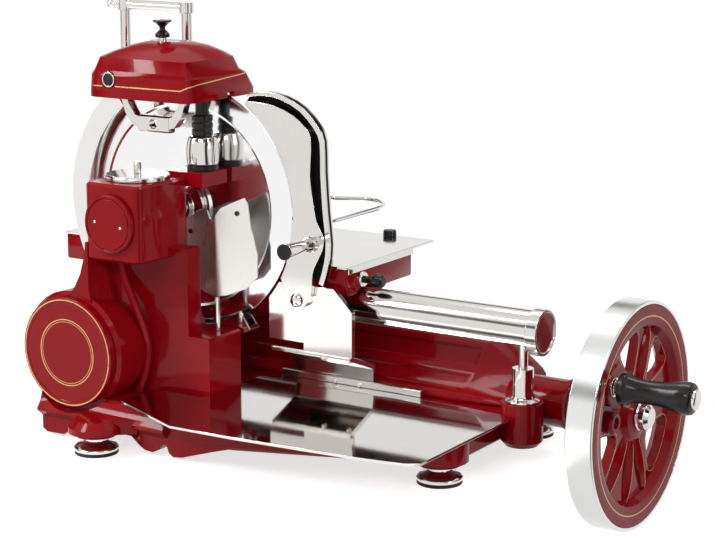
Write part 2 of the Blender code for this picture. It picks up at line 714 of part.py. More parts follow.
def make_base():
    """Base casting, open below: a deck with a scalloped front skirt and a ledge, a lug over each foot, the tube
    post's lug and the bearing housing of the flywheel shaft at its right end."""
    red = red_enamel()
    corners = [
        (BASE_LEFT_X, BASE_FRONT_Y), (BASE_LEFT_X + SKIRT_LENGTH, BASE_FRONT_Y),
        (FOOT_FRONT_RIGHT_X - LUG_RADIUS * LUG_FOOT_SHARE, FOOT_FRONT_RIGHT_Y - LUG_RADIUS * LUG_FOOT_SHARE),
        (BASE_RIGHT_X, FOOT_FRONT_RIGHT_Y), (BASE_RIGHT_X, BASE_REAR_Y), (BASE_LEFT_X, BASE_REAR_Y),
    ]
    radii = [BASE_CORNER / 4, BASE_CORNER, BASE_CORNER / 4, BASE_CORNER / 4, BASE_CORNER, BASE_CORNER]
    base = prism("base_casting", rounded_outline(corners, radii, 3), BASE_BOTTOM_Z, BASE_TOP_Z, red)
    round_edges(base, BASE_EDGE_ROUND, 1)
    wall = BASE_WALL
    pocket = [
        (BASE_LEFT_X + wall, BASE_FRONT_Y + wall), (BASE_LEFT_X + SKIRT_LENGTH, BASE_FRONT_Y + wall),
        (FOOT_FRONT_RIGHT_X - LUG_RADIUS, FOOT_FRONT_RIGHT_Y - LUG_RADIUS / 3),
        (BASE_RIGHT_X - wall, FOOT_FRONT_RIGHT_Y),
        (BASE_RIGHT_X - wall, BASE_REAR_Y - wall), (BASE_LEFT_X + wall, BASE_REAR_Y - wall),
    ]
    cut(base, prism("underside_pocket", rounded_outline(pocket, BASE_CORNER / 2, 2), BASE_BOTTOM_Z - OVERRUN,
                    BASE_TOP_Z - BASE_DECK, red))
    for name, (x, y) in foot_places().items():
        top = LEDGE_TOP_Z if name == "foot_front_left" else BASE_TOP_Z - GAP
        lug = turned("lug_" + name, [
            (0, LUG_BOTTOM_Z), (LUG_RADIUS * LUG_FOOT_SHARE, LUG_BOTTOM_Z),
            (LUG_RADIUS, LUG_BOTTOM_Z + BASE_EDGE_ROUND),
            (LUG_RADIUS, top - 2 * BASE_EDGE_ROUND), (LUG_RADIUS - 2 * BASE_EDGE_ROUND, top), (0, top),
        ], red, "Z", (x, y, 0), 18)
        join(base, lug)
    bridge = LUG_RADIUS * LUG_FOOT_SHARE
    outline = [
        (FOOT_FRONT_LEFT_X - bridge, FOOT_FRONT_LEFT_Y), (FOOT_FRONT_LEFT_X + bridge, FOOT_FRONT_LEFT_Y),
        (FOOT_FRONT_LEFT_X + 1.4 * LUG_RADIUS, BASE_FRONT_Y - LEDGE_DEPTH / 2),
        (FOOT_FRONT_LEFT_X + 1.4 * LUG_RADIUS, BASE_FRONT_Y + SKIRT_DEPTH),
        (FOOT_FRONT_LEFT_X - 1.4 * LUG_RADIUS, BASE_FRONT_Y + SKIRT_DEPTH),
        (FOOT_FRONT_LEFT_X - 1.4 * LUG_RADIUS, BASE_FRONT_Y - LEDGE_DEPTH / 2),
    ]
    join(base, prism("lug_bridge", outline, BASE_BOTTOM_Z + GAP, LEDGE_TOP_Z - GAP, red))
    deck_height = BASE_TOP_Z - BASE_EDGE_ROUND
    skirt = place_shares(SKIRT_SHARES, BASE_LEFT_X + BASE_EDGE_ROUND, 0.0, SKIRT_LENGTH - BASE_EDGE_ROUND,
                         deck_height)
    skirt += [(BASE_LEFT_X + SKIRT_LENGTH, deck_height), (BASE_LEFT_X + BASE_EDGE_ROUND, deck_height)]
    join(base, prism("front_skirt", skirt, BASE_FRONT_Y + GAP, BASE_FRONT_Y + SKIRT_DEPTH, red, "XZ"))
    ledge = place_shares(LEDGE_SHARES, BASE_FRONT_Y, BASE_BOTTOM_Z, -LEDGE_DEPTH, deck_height - BASE_BOTTOM_Z)
    ledge = [(BASE_FRONT_Y + SKIRT_DEPTH, BASE_BOTTOM_Z)] + ledge + [(BASE_FRONT_Y + SKIRT_DEPTH,
                                                                      deck_height)]
    join(base, prism("front_ledge", ledge, BASE_LEFT_X + BASE_EDGE_ROUND, LEDGE_RIGHT_X, red, "YZ"))
    post_lug = turned("post_lug", [
        (0, LUG_BOTTOM_Z), (POST_LUG_RADIUS * LUG_FOOT_SHARE, LUG_BOTTOM_Z),
        (POST_LUG_RADIUS, BASE_BOTTOM_Z + BASE_EDGE_ROUND),
        (POST_LUG_RADIUS, POST_BASE_Z - GAP), (0, POST_BASE_Z - GAP),
    ], red, "Z", (POST_X, TUBE_Y, 0), 20)
    join(base, post_lug)
    plate = prism("housing_plate", rounded_outline(rectangle(
        SHAFT_Y - HOUSING_PLATE_HALF, BASE_BOTTOM_Z + BASE_EDGE_ROUND,
        SHAFT_Y + HOUSING_PLATE_HALF, SHAFT_Z + HOUSING_RADIUS), [0, 0, BASE_CORNER, BASE_CORNER], 3),
        DRIVE_RIGHT_X + GAP, DRIVE_RIGHT_X + GAP + HOUSING_PLATE, red, "YZ")
    join(base, plate)
    housing = turned("housing_barrel", [
        (0, DRIVE_RIGHT_X + 2 * GAP), (HOUSING_RADIUS, DRIVE_RIGHT_X + 2 * GAP),
        (HOUSING_RADIUS, HOUSING_RIGHT_X - HOUSING_PLATE),
        (HOUSING_RADIUS + HOUSING_FLARE, HOUSING_RIGHT_X - HOUSING_FLARE),
        (HOUSING_RADIUS + HOUSING_FLARE, HOUSING_RIGHT_X), (0, HOUSING_RIGHT_X),
    ], red, "X", (0, SHAFT_Y, SHAFT_Z), 28)
    join(base, housing)
    bore = turned("shaft_bore", [
        (0, SHAFT_LEFT_X - OVERRUN), (SHAFT_RADIUS + RUNNING_GAP, SHAFT_LEFT_X - OVERRUN),
        (SHAFT_RADIUS + RUNNING_GAP, HOUSING_RIGHT_X + OVERRUN), (0, HOUSING_RIGHT_X + OVERRUN),
    ], red, "X", (0, SHAFT_Y, SHAFT_Z), 24)
    cut(base, bore)
    seat = GEAR_CASE_RADIUS + GEAR_CASE_WALL + GAP
    far = BASE_FRONT_Y - LEDGE_DEPTH - OVERRUN
    cut(base, turned("gear_case_seat", [
        (0, far), (seat, far), (seat, COLUMN_FRONT_Y), (0, COLUMN_FRONT_Y),
    ], red, "Y", (GEAR_CASE_X, 0, GEAR_CASE_Z), 32))
    return base, bore


def make_drive_cover(bore):
    """Faceted cover of the drive, with the carriage's rear track along its top."""
    red = red_enamel()
    low = BASE_TOP_Z + GAP
    rise = COVER_TOP_Z - low
    width = DRIVE_FAR_Y - DRIVE_NEAR_Y
    profile_shares = [
        (0.0, 0.0), (0.0, 0.17), (0.10, 0.30), (0.30, 0.50), (0.55, 1.0), (0.92, 1.0), (0.98, 0.80),
        (1.0, 0.0),
    ]
    end_shares = [
        (0.08, 0.0), (0.08, 0.10), (0.14, 0.18), (0.32, 0.26), (0.56, 0.42), (0.86, 0.42), (0.93, 0.30),
        (0.94, 0.0),
    ]
    tall = place_shares(profile_shares, DRIVE_NEAR_Y, low, width, rise)
    short = place_shares(end_shares, DRIVE_NEAR_Y, low, width, rise)
    cover = loft("drive_cover", [
        [(DRIVE_LEFT_X, y, z) for y, z in tall], [(DRIVE_SHOULDER_X, y, z) for y, z in tall],
        [(DRIVE_RIGHT_X, y, z) for y, z in short],
    ], red)
    round_edges(cover, BASE_EDGE_ROUND / 2, 1)
    cut(cover, bore)
    box("rear_track", (DRIVE_LEFT_X, TRACK_Y - TRACK_WIDTH / 2, COVER_TOP_Z + GAP),
        (DRIVE_SHOULDER_X - BASE_EDGE_ROUND, TRACK_Y + TRACK_WIDTH / 2, TRACK_TOP_Z), polished_steel())


def make_column():
    """Column: a square head over a scooped waist, a flared side that runs into the round gear case, and the low
    shoulder beside the waist."""
    red = red_enamel()
    low = BASE_TOP_Z + GAP
    head = prism("column", rounded_outline(
        rectangle(COLUMN_LEFT_X, COLUMN_FRONT_Y, COLUMN_RIGHT_X, COLUMN_BACK_Y), COLUMN_ROUND),
        COLUMN_HEAD_Z, COLUMN_TOP_Z, red)
    round_edges(head, COLUMN_ROUND / 3, 1)
    case_left = GEAR_CASE_X - GEAR_CASE_RADIUS
    head_height = COLUMN_HEAD_Z - low
    flare_shares = [
        (0.0, 1.12), (0.02, 1.02), (0.10, 0.88), (0.22, 0.76), (0.42, 0.68), (0.62, 0.61), (0.80, 0.50),
        (0.86, 0.30), (0.84, 0.10), (0.82, 0.0), (-0.15, 0.0), (-0.12, 0.55), (-0.03, 0.80), (-0.04, 1.12),
    ]
    reach = COLUMN_LEFT_X - case_left
    flare = [(COLUMN_LEFT_X - u * reach, low + v * head_height) for u, v in flare_shares]
    back = COLUMN_BACK_Y + GAP
    join(head, prism("column_flare", flare, COLUMN_FRONT_Y + GAP, back, red, "XZ"))
    case = turned("gear_case", [
        (0, COLUMN_FRONT_Y), (GEAR_CASE_RADIUS + GEAR_CASE_WALL - BASE_EDGE_ROUND, COLUMN_FRONT_Y),
        (GEAR_CASE_RADIUS + GEAR_CASE_WALL, COLUMN_FRONT_Y + BASE_EDGE_ROUND),
        (GEAR_CASE_RADIUS + GEAR_CASE_WALL, COLUMN_BACK_Y - BASE_EDGE_ROUND),
        (0, COLUMN_BACK_Y - BASE_EDGE_ROUND),
    ], red, "Y", (GEAR_CASE_X, 0, GEAR_CASE_Z), 32)
    join(head, case)
    depth = COLUMN_BACK_Y - COLUMN_FRONT_Y
    width = COLUMN_RIGHT_X - COLUMN_LEFT_X
    waist_shares = [
        (0.0, 0.004), (0.04, 0.004), (0.13, 0.24), (0.225, 0.46), (0.475, 0.625), (0.76, 0.68), (1.04, 0.71),
        (1.19, 0.73), (1.19, 0.995), (0.0, 0.995),
    ]
    waist = place_shares(waist_shares, COLUMN_LEFT_X, COLUMN_FRONT_Y, width, depth)
    join(head, prism("column_waist", waist, low, COLUMN_HEAD_Z + COLUMN_ROUND, red))
    rib_shares = [
        (0.34, 0.30, 1.02), (0.40, 0.33, 0.85), (0.52, 0.43, 0.62), (0.62, 0.53, 0.36), (0.58, 0.52, 0.16),
        (0.50, 0.46, 0.01),
    ]
    rib = [
        (COLUMN_LEFT_X + u * width, COLUMN_FRONT_Y + v * depth, low + w * head_height) for u, v,
        w in rib_shares]
    join(head, swept("column_rib", smooth_path(rib, 2), RIB_RADIUS, red, 6))
    shoulder_top = SHOULDER_TOP_Z - low
    shoulder_shares = [(0.0, 0.0), (1.0, 0.0), (1.0, 0.97), (0.97, 1.0), (0.42, 1.0), (0.34, 1.25),
                       (0.0, 1.25)]
    shoulder = place_shares(shoulder_shares, SHOULDER_LEFT_X, low, SHOULDER_RIGHT_X - SHOULDER_LEFT_X,
                            shoulder_top)
    join(head, prism("column_shoulder", shoulder, SHOULDER_FRONT_Y, SHOULDER_BACK_Y, red, "XZ"))
    join(head,
         box("column_shelf", (SHELF_LEFT_X, COLUMN_BACK_Y - COLUMN_ROUND / 2, SHELF_TOP_Z - SHELF_THICKNESS),
                   (SHELF_RIGHT_X, SHELF_BACK_Y, SHELF_TOP_Z), red))
    below = GEAR_CASE_RADIUS
    cut(head, box("case_foot_cut", (case_left - 2 * below, COLUMN_FRONT_Y - below, -below),
                  (COLUMN_RIGHT_X + below, COLUMN_BACK_Y + below, low), red))
    bore = turned("blade_bore", [
        (0, COLUMN_FRONT_Y - OVERRUN), (BLADE_SHAFT_RADIUS + RUNNING_GAP, COLUMN_FRONT_Y - OVERRUN),
        (BLADE_SHAFT_RADIUS + RUNNING_GAP, COLUMN_BACK_Y + OVERRUN), (0, COLUMN_BACK_Y + OVERRUN),
    ], red, "Y", (BLADE_X, 0, BLADE_Z), 32)
    cut(head, bore)
    ring = GEAR_CASE_RADIUS
    turned("gear_case_cover", [
        (0, COLUMN_FRONT_Y - GAP), (ring, COLUMN_FRONT_Y - GAP), (ring, GEAR_FRONT_Y + GEAR_COVER_DISH),
        (ring - GEAR_COVER_DISH, GEAR_FRONT_Y), (ring - 4 * GEAR_COVER_DISH, GEAR_FRONT_Y),
        (ring - 5 * GEAR_COVER_DISH, GEAR_FRONT_Y + GEAR_COVER_DISH), (0, GEAR_FRONT_Y + GEAR_COVER_DISH / 2),
    ], red, "Y", (GEAR_CASE_X, 0, GEAR_CASE_Z), 32)
    cap_front = COLUMN_FRONT_Y - GAP - CAP_THICKNESS
    turned("blade_shaft_cap", [
        (0, COLUMN_FRONT_Y - GAP), (CAP_RADIUS, COLUMN_FRONT_Y - GAP), (CAP_RADIUS, cap_front + CAP_DISH),
        (CAP_RADIUS - CAP_DISH, cap_front), (CAP_RADIUS - 4 * CAP_DISH, cap_front),
        (CAP_RADIUS - 5 * CAP_DISH, cap_front + CAP_DISH), (0, cap_front + CAP_DISH / 2),
    ], red, "Y", (BLADE_X, 0, BLADE_Z), 26)


def make_blade():
    """The round knife on its shaft: flat behind, ground to a bevel in front."""
    pivot = axis_empty("blade_axis", (BLADE_X, BLADE_BACK_Y, BLADE_Z))
    steel = polished_steel()
    edge = BLADE_RADIUS
    ground = BLADE_RADIUS - BLADE_BEVEL_WIDTH
    step = BLADE_BEVEL_THICKNESS / 2
    turned("blade", [
        (0, 0), (edge, 0), (edge, -BLADE_EDGE), (ground, -BLADE_BEVEL_THICKNESS),
        (ground - step, -BLADE_WEB / 2), (BLADE_CENTRE_RADIUS + step, -BLADE_WEB),
        (BLADE_CENTRE_RADIUS, -BLADE_THICKNESS), (0, -BLADE_THICKNESS),
    ], steel, "Y", pivot.location, 54, pivot)
    hub_y = BLADE_BACK_Y - BLADE_THICKNESS - GAP
    turned("blade_shaft", [
        (0, hub_y), (BLADE_HUB_RADIUS, hub_y), (BLADE_HUB_RADIUS, hub_y - BLADE_HUB_LENGTH / 2),
        (BLADE_HUB_STEP_RADIUS, hub_y - BLADE_HUB_LENGTH),
        (BLADE_HUB_STEP_RADIUS, hub_y - 2 * BLADE_HUB_LENGTH),
        (BLADE_SHAFT_RADIUS, hub_y - 2 * BLADE_HUB_LENGTH), (BLADE_SHAFT_RADIUS, COLUMN_FRONT_Y + GAP),
        (0, COLUMN_FRONT_Y + GAP),
    ], chrome(), "Y", (BLADE_X, 0, BLADE_Z), 20, pivot)


def make_guard_ring():
    """U-shaped guard round the blade's free edge, standing on the base on a short leg."""
    section = [
        (RING_OUTER, RING_FRONT_Y), (RING_OUTER, RING_BACK_Y), (RING_LIP_INNER, RING_BACK_Y),
        (RING_LIP_INNER, RING_BACK_Y - RING_LIP), (RING_OUTER - RING_BAND, RING_BACK_Y - RING_LIP),
        (RING_OUTER - RING_BAND, RING_FRONT_Y + RING_LIP), (RING_FRONT_LIP_INNER, RING_FRONT_Y + RING_LIP),
        (RING_FRONT_LIP_INNER, RING_FRONT_Y),
    ]
    steps = 23
    sections = []
    for k in range(steps + 1):
        turn = RING_START + (RING_END - RING_START) * k / steps
        sections.append([
            (BLADE_X + radius * math.cos(turn), y, BLADE_Z + radius * math.sin(turn)) for radius,
            y in section])
    ring = loft("blade_guard_ring", sections, chrome())
    leg_x = (SHOULDER_LEFT_X + COLUMN_LEFT_X) / 2
    leg_reach = abs(leg_x - BLADE_X) + RING_LEG_WIDTH
    leg_top = BLADE_Z - math.sqrt((RING_OUTER - RING_BAND / 2) ** 2 - leg_reach ** 2)
    leg = box("ring_leg", (leg_x - RING_LEG_WIDTH / 2, RING_FRONT_Y + RING_LIP / 2, BASE_TOP_Z + GAP),
              (leg_x + RING_LEG_WIDTH / 2, RING_BACK_Y - RING_LIP / 2, leg_top), chrome())
    join(ring, leg)


def make_deflector():
    """Folded slice deflector in front of the blade, on a short rod that stands on the shoulder."""
    steel = polished_steel()
    left_y = DEFLECTOR_CREASE_Y + DEFLECTOR_SWEEP
    right_y = DEFLECTOR_CREASE_Y + DEFLECTOR_SWEEP * 1.4
    fold = [(DEFLECTOR_LEFT_X, left_y), (DEFLECTOR_CREASE_X, DEFLECTOR_CREASE_Y),
            (DEFLECTOR_RIGHT_X, right_y)]
    band = fold + [(x, y + DEFLECTOR_THICKNESS) for x, y in reversed(fold)]
    sheet = prism("slice_deflector", band, DEFLECTOR_BOTTOM_Z - OVERRUN, DEFLECTOR_TOP_Z + OVERRUN, steel)
    outline_shares = [
        (-0.05, 0.67), (0.36, 0.85), (0.42, 0.84), (0.46, 0.76), (0.50, 0.74), (0.54, 0.80), (0.60, 0.88),
        (0.86, 0.99), (0.90, 0.93), (0.93, 0.70), (1.05, 0.27), (0.88, 0.10), (0.66, 0.02), (0.53, 0.0),
        (0.38, 0.02), (0.18, 0.10), (-0.05, 0.24),
    ]
    outline = place_shares(outline_shares, DEFLECTOR_LEFT_X, DEFLECTOR_BOTTOM_Z,
                           DEFLECTOR_RIGHT_X - DEFLECTOR_LEFT_X, DEFLECTOR_TOP_Z - DEFLECTOR_BOTTOM_Z)
    keep = prism("deflector_outline", outline, DEFLECTOR_CREASE_Y - DEFLECTOR_SWEEP,
                 DEFLECTOR_CREASE_Y + 2 * DEFLECTOR_SWEEP + DEFLECTOR_THICKNESS, steel, "XZ")
    boolean(sheet, keep, "INTERSECT")
    turned("deflector_rod", [
        (0, SHOULDER_TOP_Z + GAP), (DEFLECTOR_ROD_RADIUS, SHOULDER_TOP_Z + GAP),
        (DEFLECTOR_ROD_RADIUS, DEFLECTOR_BOTTOM_Z - GAP), (0, DEFLECTOR_BOTTOM_Z - GAP),
    ], chrome(), "Z", (DEFLECTOR_CREASE_X, DEFLECTOR_CREASE_Y + DEFLECTOR_THICKNESS / 2, 0), 16)


def make_tube():
    """Carriage tube, open below, with its end cap, its post on the right and its support on the left."""
    tube_end = TUBE_RIGHT_X - CAP_COLLAR_LENGTH - GAP
    low = -math.pi / 2 + TUBE_OPEN_HALF_ANGLE
    high = 3 * math.pi / 2 - TUBE_OPEN_HALF_ANGLE
    outer = arc((TUBE_Y, TUBE_Z), TUBE_RADIUS, low, high, 24)
    inner = arc((TUBE_Y, TUBE_Z), TUBE_RADIUS - TUBE_WALL, high, low, 24)
    prism("guide_tube", outer + inner, TUBE_LEFT_X, tube_end, chrome(), "YZ")
    turned("tube_end_cap", [
        (0, TUBE_RIGHT_X - CAP_COLLAR_LENGTH), (CAP_COLLAR_RADIUS, TUBE_RIGHT_X - CAP_COLLAR_LENGTH),
        (CAP_COLLAR_RADIUS, TUBE_RIGHT_X - GAP), (CAP_COLLAR_RADIUS - TUBE_WALL / 2, TUBE_RIGHT_X),
        (CAP_COLLAR_RADIUS - TUBE_WALL, TUBE_RIGHT_X),
        (CAP_COLLAR_RADIUS - TUBE_WALL, TUBE_RIGHT_X - TUBE_WALL / 2),
        (0, TUBE_RIGHT_X - TUBE_WALL / 2),
    ], chrome(), "X", (0, TUBE_Y, TUBE_Z), 24)
    sleeve_top = POST_BASE_Z + POST_FOOT_HEIGHT + POST_SLEEVE_HEIGHT
    saddle_z = TUBE_Z + (TUBE_RADIUS - TUBE_WALL) - GAP
    turned("tube_post", [
        (0, POST_BASE_Z), (POST_FOOT_RADIUS, POST_BASE_Z),
        (POST_FOOT_RADIUS, POST_BASE_Z + POST_FOOT_HEIGHT / 2),
        (POST_SLEEVE_RADIUS + POST_FOOT_HEIGHT / 2, POST_BASE_Z + POST_FOOT_HEIGHT),
        (POST_SLEEVE_RADIUS, POST_BASE_Z + 2 * POST_FOOT_HEIGHT), (POST_SLEEVE_RADIUS, sleeve_top),
        (POST_ROD_RADIUS, sleeve_top), (POST_ROD_RADIUS, saddle_z - POST_ROD_RADIUS / 2),
        (0, saddle_z),
    ], chrome(), "Z", (POST_X, TUBE_Y, 0), 18)
    hold = TUBE_RADIUS + GAP
    wall = hold + SUPPORT_WALL
    low_z = BASE_TOP_Z + GAP
    outline = [(TUBE_Y - wall * 0.8, low_z), (TUBE_Y + wall * 0.8, low_z)]
    outline += arc((TUBE_Y, TUBE_Z), wall, -math.pi / 6, math.pi * 7 / 6, 18)
    support = prism("tube_left_support", outline, TUBE_LEFT_X, TUBE_LEFT_X + SUPPORT_WIDTH, red_enamel(),
                    "YZ")
    hole = prism("support_hole", arc((TUBE_Y, TUBE_Z), hold, 0, FULL_TURN * 31 / 32, 31),
                 TUBE_LEFT_X - OVERRUN, TUBE_LEFT_X + SUPPORT_WIDTH + OVERRUN, red_enamel(), "YZ")
    cut(support, hole)


def make_tray():
    """Receiving tray and the rail that closes it behind."""
    outline = place_shares(TRAY_SHARES, TRAY_TIP_X, TRAY_FRONT_Y, TRAY_RIGHT_X - TRAY_TIP_X, TRAY_DEPTH)
    tray = prism("tray", outline, TRAY_BOTTOM_Z, TRAY_TOP_Z, polished_steel())
    case = GEAR_CASE_RADIUS + GEAR_CASE_WALL + GAP
    cut(tray, turned("tray_case_cut", [
        (0, COLUMN_FRONT_Y - CAP_THICKNESS), (case, COLUMN_FRONT_Y - CAP_THICKNESS), (case, COLUMN_BACK_Y),
        (0, COLUMN_BACK_Y),
    ], polished_steel(), "Y", (GEAR_CASE_X, 0, GEAR_CASE_Z), 32))
    cut(tray, box("tray_shoulder_cut", (SHOULDER_LEFT_X - case, SHOULDER_FRONT_Y - GAP, 0),
                  (SHOULDER_RIGHT_X + GAP, SHOULDER_BACK_Y + GAP, SHOULDER_TOP_Z), polished_steel()))
    lug = POST_LUG_RADIUS + GAP
    cut(tray,
        turned("tray_lug_cut", [(0, 0), (lug, 0), (lug, POST_BASE_Z), (0, POST_BASE_Z)], polished_steel(),
                     "Z", (POST_X, TUBE_Y, 0), 28))
    rail = box("rear_rail", (RAIL_LEFT_X, RAIL_Y, RAIL_BOTTOM_Z),
               (RAIL_RIGHT_X, RAIL_Y + RAIL_THICKNESS, RAIL_TOP_Z), chrome())
    round_edges(rail, RAIL_ROUND, 1)


def make_flywheel():
    """Flywheel: red web with sculpted spokes and four windows, a bright band round it, its shaft and nut."""
    pivot = axis_empty("flywheel_axis", (WHEEL_FACE_X, SHAFT_Y, SHAFT_Z))
    red = red_enamel()
    ring = WHEEL_RADIUS - WHEEL_BAND - GAP
    inner = WHEEL_RING_INNER
    web_front = -WHEEL_WEB_SETBACK
    web_back = web_front - WHEEL_WEB_THICKNESS
    back = -WHEEL_WIDTH
    hub = WHEEL_HUB_RADIUS
    bore = SHAFT_RADIUS + GAP
    slope = WHEEL_WEB_SETBACK / 2
    web = turned("flywheel_web", [
        (bore, back), (hub, back), (hub + slope, web_back), (inner - slope, web_back), (inner + slope, back),
        (ring, back), (ring, 0), (inner + slope, 0), (inner, -WHEEL_DISH), (inner - slope, web_front),
        (hub + slope, web_front), (hub, -slope), (bore, -slope / 2),
    ], red, "X", pivot.location, WHEEL_STEPS, pivot)
    for k, turn in enumerate(SPOKE_TURNS):
        join(web, spoke_ridge("spoke_ridge_%d" % k, math.radians(turn), web_front, red))
    for k, (start, end) in enumerate(WINDOW_TURNS):
        cut(web, wheel_window("wheel_window_%d" % k, math.radians(start), math.radians(end), red))
    middle = (web_back + web_front) / 2
    pad_y = SHAFT_Y + CRANK_PAD_REACH * math.cos(CRANK_PAD_TURN)
    pad_z = SHAFT_Z + CRANK_PAD_REACH * math.sin(CRANK_PAD_TURN)
    join(web, turned("crank_pad", [
        (0, middle), (CRANK_PAD_RADIUS, middle), (CRANK_PAD_RADIUS, 0),
        (CRANK_PAD_RADIUS - CRANK_PAD_RISE, CRANK_PAD_RISE), (0, CRANK_PAD_RISE),
    ], red, "X", (WHEEL_FACE_X, pad_y, pad_z), 24))
    boss_y = SHAFT_Y + ROUND_BOSS_REACH * math.cos(ROUND_BOSS_TURN)
    boss_z = SHAFT_Z + ROUND_BOSS_REACH * math.sin(ROUND_BOSS_TURN)
    dish = ROUND_BOSS_RADIUS * 0.55
    join(web, turned("round_boss", [
        (0, middle), (ROUND_BOSS_RADIUS, middle), (ROUND_BOSS_RADIUS, -slope),
        (ROUND_BOSS_RADIUS * 0.85, -slope / 2),
        (dish, -slope / 2), (dish, -slope), (0, -slope),
    ], red, "X", (WHEEL_FACE_X, boss_y, boss_z), 16))
    band = WHEEL_RADIUS
    turned("flywheel_band", [
        (band - WHEEL_BAND, back), (band - WHEEL_DISH, back), (band, back + WHEEL_DISH), (band, -WHEEL_DISH),
        (band - WHEEL_DISH, 0), (band - WHEEL_BAND, 0),
    ], chrome(), "X", pivot.location, WHEEL_STEPS, pivot)
    front = WHEEL_FACE_X - slope / 2 + GAP
    sleeve_left = HOUSING_RIGHT_X + GAP
    turned("flywheel_shaft", [
        (0, SHAFT_LEFT_X), (SHAFT_RADIUS, SHAFT_LEFT_X), (SHAFT_RADIUS, sleeve_left),
        (SLEEVE_RADIUS, sleeve_left),
        (SLEEVE_RADIUS, WHEEL_BACK_X - GAP), (SHAFT_RADIUS, WHEEL_BACK_X - GAP), (SHAFT_RADIUS, front - GAP),
        (0, front - GAP),
    ], chrome(), "X", (0, SHAFT_Y, SHAFT_Z), 20, pivot)
    turned("hub_nut", [
        (0, front), (NUT_RADIUS + CRANK_PAD_RISE, front),
        (NUT_RADIUS + CRANK_PAD_RISE, front + CRANK_PAD_RISE),
        (NUT_RADIUS, front + 2 * CRANK_PAD_RISE), (NUT_RADIUS, front + NUT_LENGTH * 0.7),
        (NUT_RADIUS * 0.7, front + NUT_LENGTH), (0, front + NUT_LENGTH),
    ], chrome(), "X", (0, SHAFT_Y, SHAFT_Z), 18, pivot)
    make_crank(pivot)


def spoke_ridge(name, turn, level, material):
    """A leaf-shaped swelling along one spoke."""
    inner = WHEEL_HUB_RADIUS * 0.9
    outer = WHEEL_RING_INNER + SPOKE_HALF_WIDTH * 0.3
    sections = []
    steps = 5
    for k in range(steps + 1):
        share = k / steps
        reach = inner + (outer - inner) * share
        swell = 0.42 + 0.58 * math.sin(math.pi * min(share * 0.9 + 0.08, 1.0)) ** 0.8
        half = SPOKE_HALF_WIDTH * swell
        high = SPOKE_RIDGE * (0.25 + 0.75 * math.sin(math.pi * share) ** 0.7)
        ring = []
        for u, v in [(-1, -0.6), (-0.75, 0.45), (0, 1.0), (0.75, 0.45), (1, -0.6)]:
            side = u * half
            x = level + v * high
            y = reach * math.cos(turn) - side * math.sin(turn)
            z = reach * math.sin(turn) + side * math.cos(turn)
            ring.append((x + WHEEL_FACE_X, y + SHAFT_Y, z + SHAFT_Z))
        sections.append(ring)
    return loft(name, sections, material)


def wheel_window(name, start, end, material):
    """A long window between two spokes, rounded at its corners."""
    middle = (start + end) / 2
    half = (end - start) / 2
    window_shares = [
        (WINDOW_INNER_SHARE, 0.0), (WINDOW_INNER_SHARE + 0.03, 0.42), (0.66, 0.72), (0.82, 0.92),
        (0.93, 0.88),
        (0.985, 0.62), (1.0, 0.0),
    ]
    window_shares += [(share, -side) for share, side in reversed(window_shares[1:-1])]
    outline = []
    for share, side in window_shares:
        reach = WINDOW_OUTER * share
        turn = middle + half * side
        outline.append((SHAFT_Y + reach * math.cos(turn), SHAFT_Z + reach * math.sin(turn)))
    return prism(name, outline, WHEEL_BACK_X - OVERRUN, WHEEL_FACE_X + OVERRUN, material, "YZ")


def make_crank(pivot):
    """Crank pin on the wheel and the grip that turns on it."""
    collar = CRANK_COLLAR_RADIUS
    pin_end = GRIP_LEFT_X + GRIP_LENGTH + GAP
    turned("crank_pin", [
        (0, CRANK_FACE_X), (collar * 1.3, CRANK_FACE_X),
        (collar * 1.3, CRANK_FACE_X + CRANK_COLLAR_LENGTH * 0.3),
        (collar, CRANK_FACE_X + CRANK_COLLAR_LENGTH * 0.4), (collar, CRANK_FACE_X + CRANK_COLLAR_LENGTH),
        (CRANK_PIN_RADIUS, CRANK_FACE_X + CRANK_COLLAR_LENGTH), (CRANK_PIN_RADIUS, pin_end),
        (GRIP_CAP_RADIUS, pin_end), (GRIP_CAP_RADIUS, pin_end + GRIP_CAP_LENGTH * 0.7),
        (GRIP_CAP_RADIUS * 0.8, pin_end + GRIP_CAP_LENGTH), (0, pin_end + GRIP_CAP_LENGTH),
    ], chrome(), "X", (0, CRANK_Y, CRANK_Z), 14, pivot)
    hinge = axis_empty("crank_grip_axis", (GRIP_LEFT_X, CRANK_Y, CRANK_Z))
    bore = CRANK_PIN_RADIUS + RUNNING_GAP
    swell_shares = [
        (0.0, 0.07), (0.02, 0.93), (0.09, 1.0), (0.14, 0.53), (0.24, 0.13), (0.42, 0.0), (0.62, 0.27),
        (0.80, 0.83),
        (0.92, 1.0), (0.98, 0.77), (1.0, 0.07),
    ]
    profile = [(bore, 0.0)]
    for along, swell in swell_shares:
        radius = GRIP_WAIST_RADIUS + (GRIP_RADIUS - GRIP_WAIST_RADIUS) * swell
        profile.append((radius, along * GRIP_LENGTH))
    profile.append((bore, GRIP_LENGTH))
    turned("crank_grip", profile, black_phenolic(), "X", hinge.location, 16, hinge)


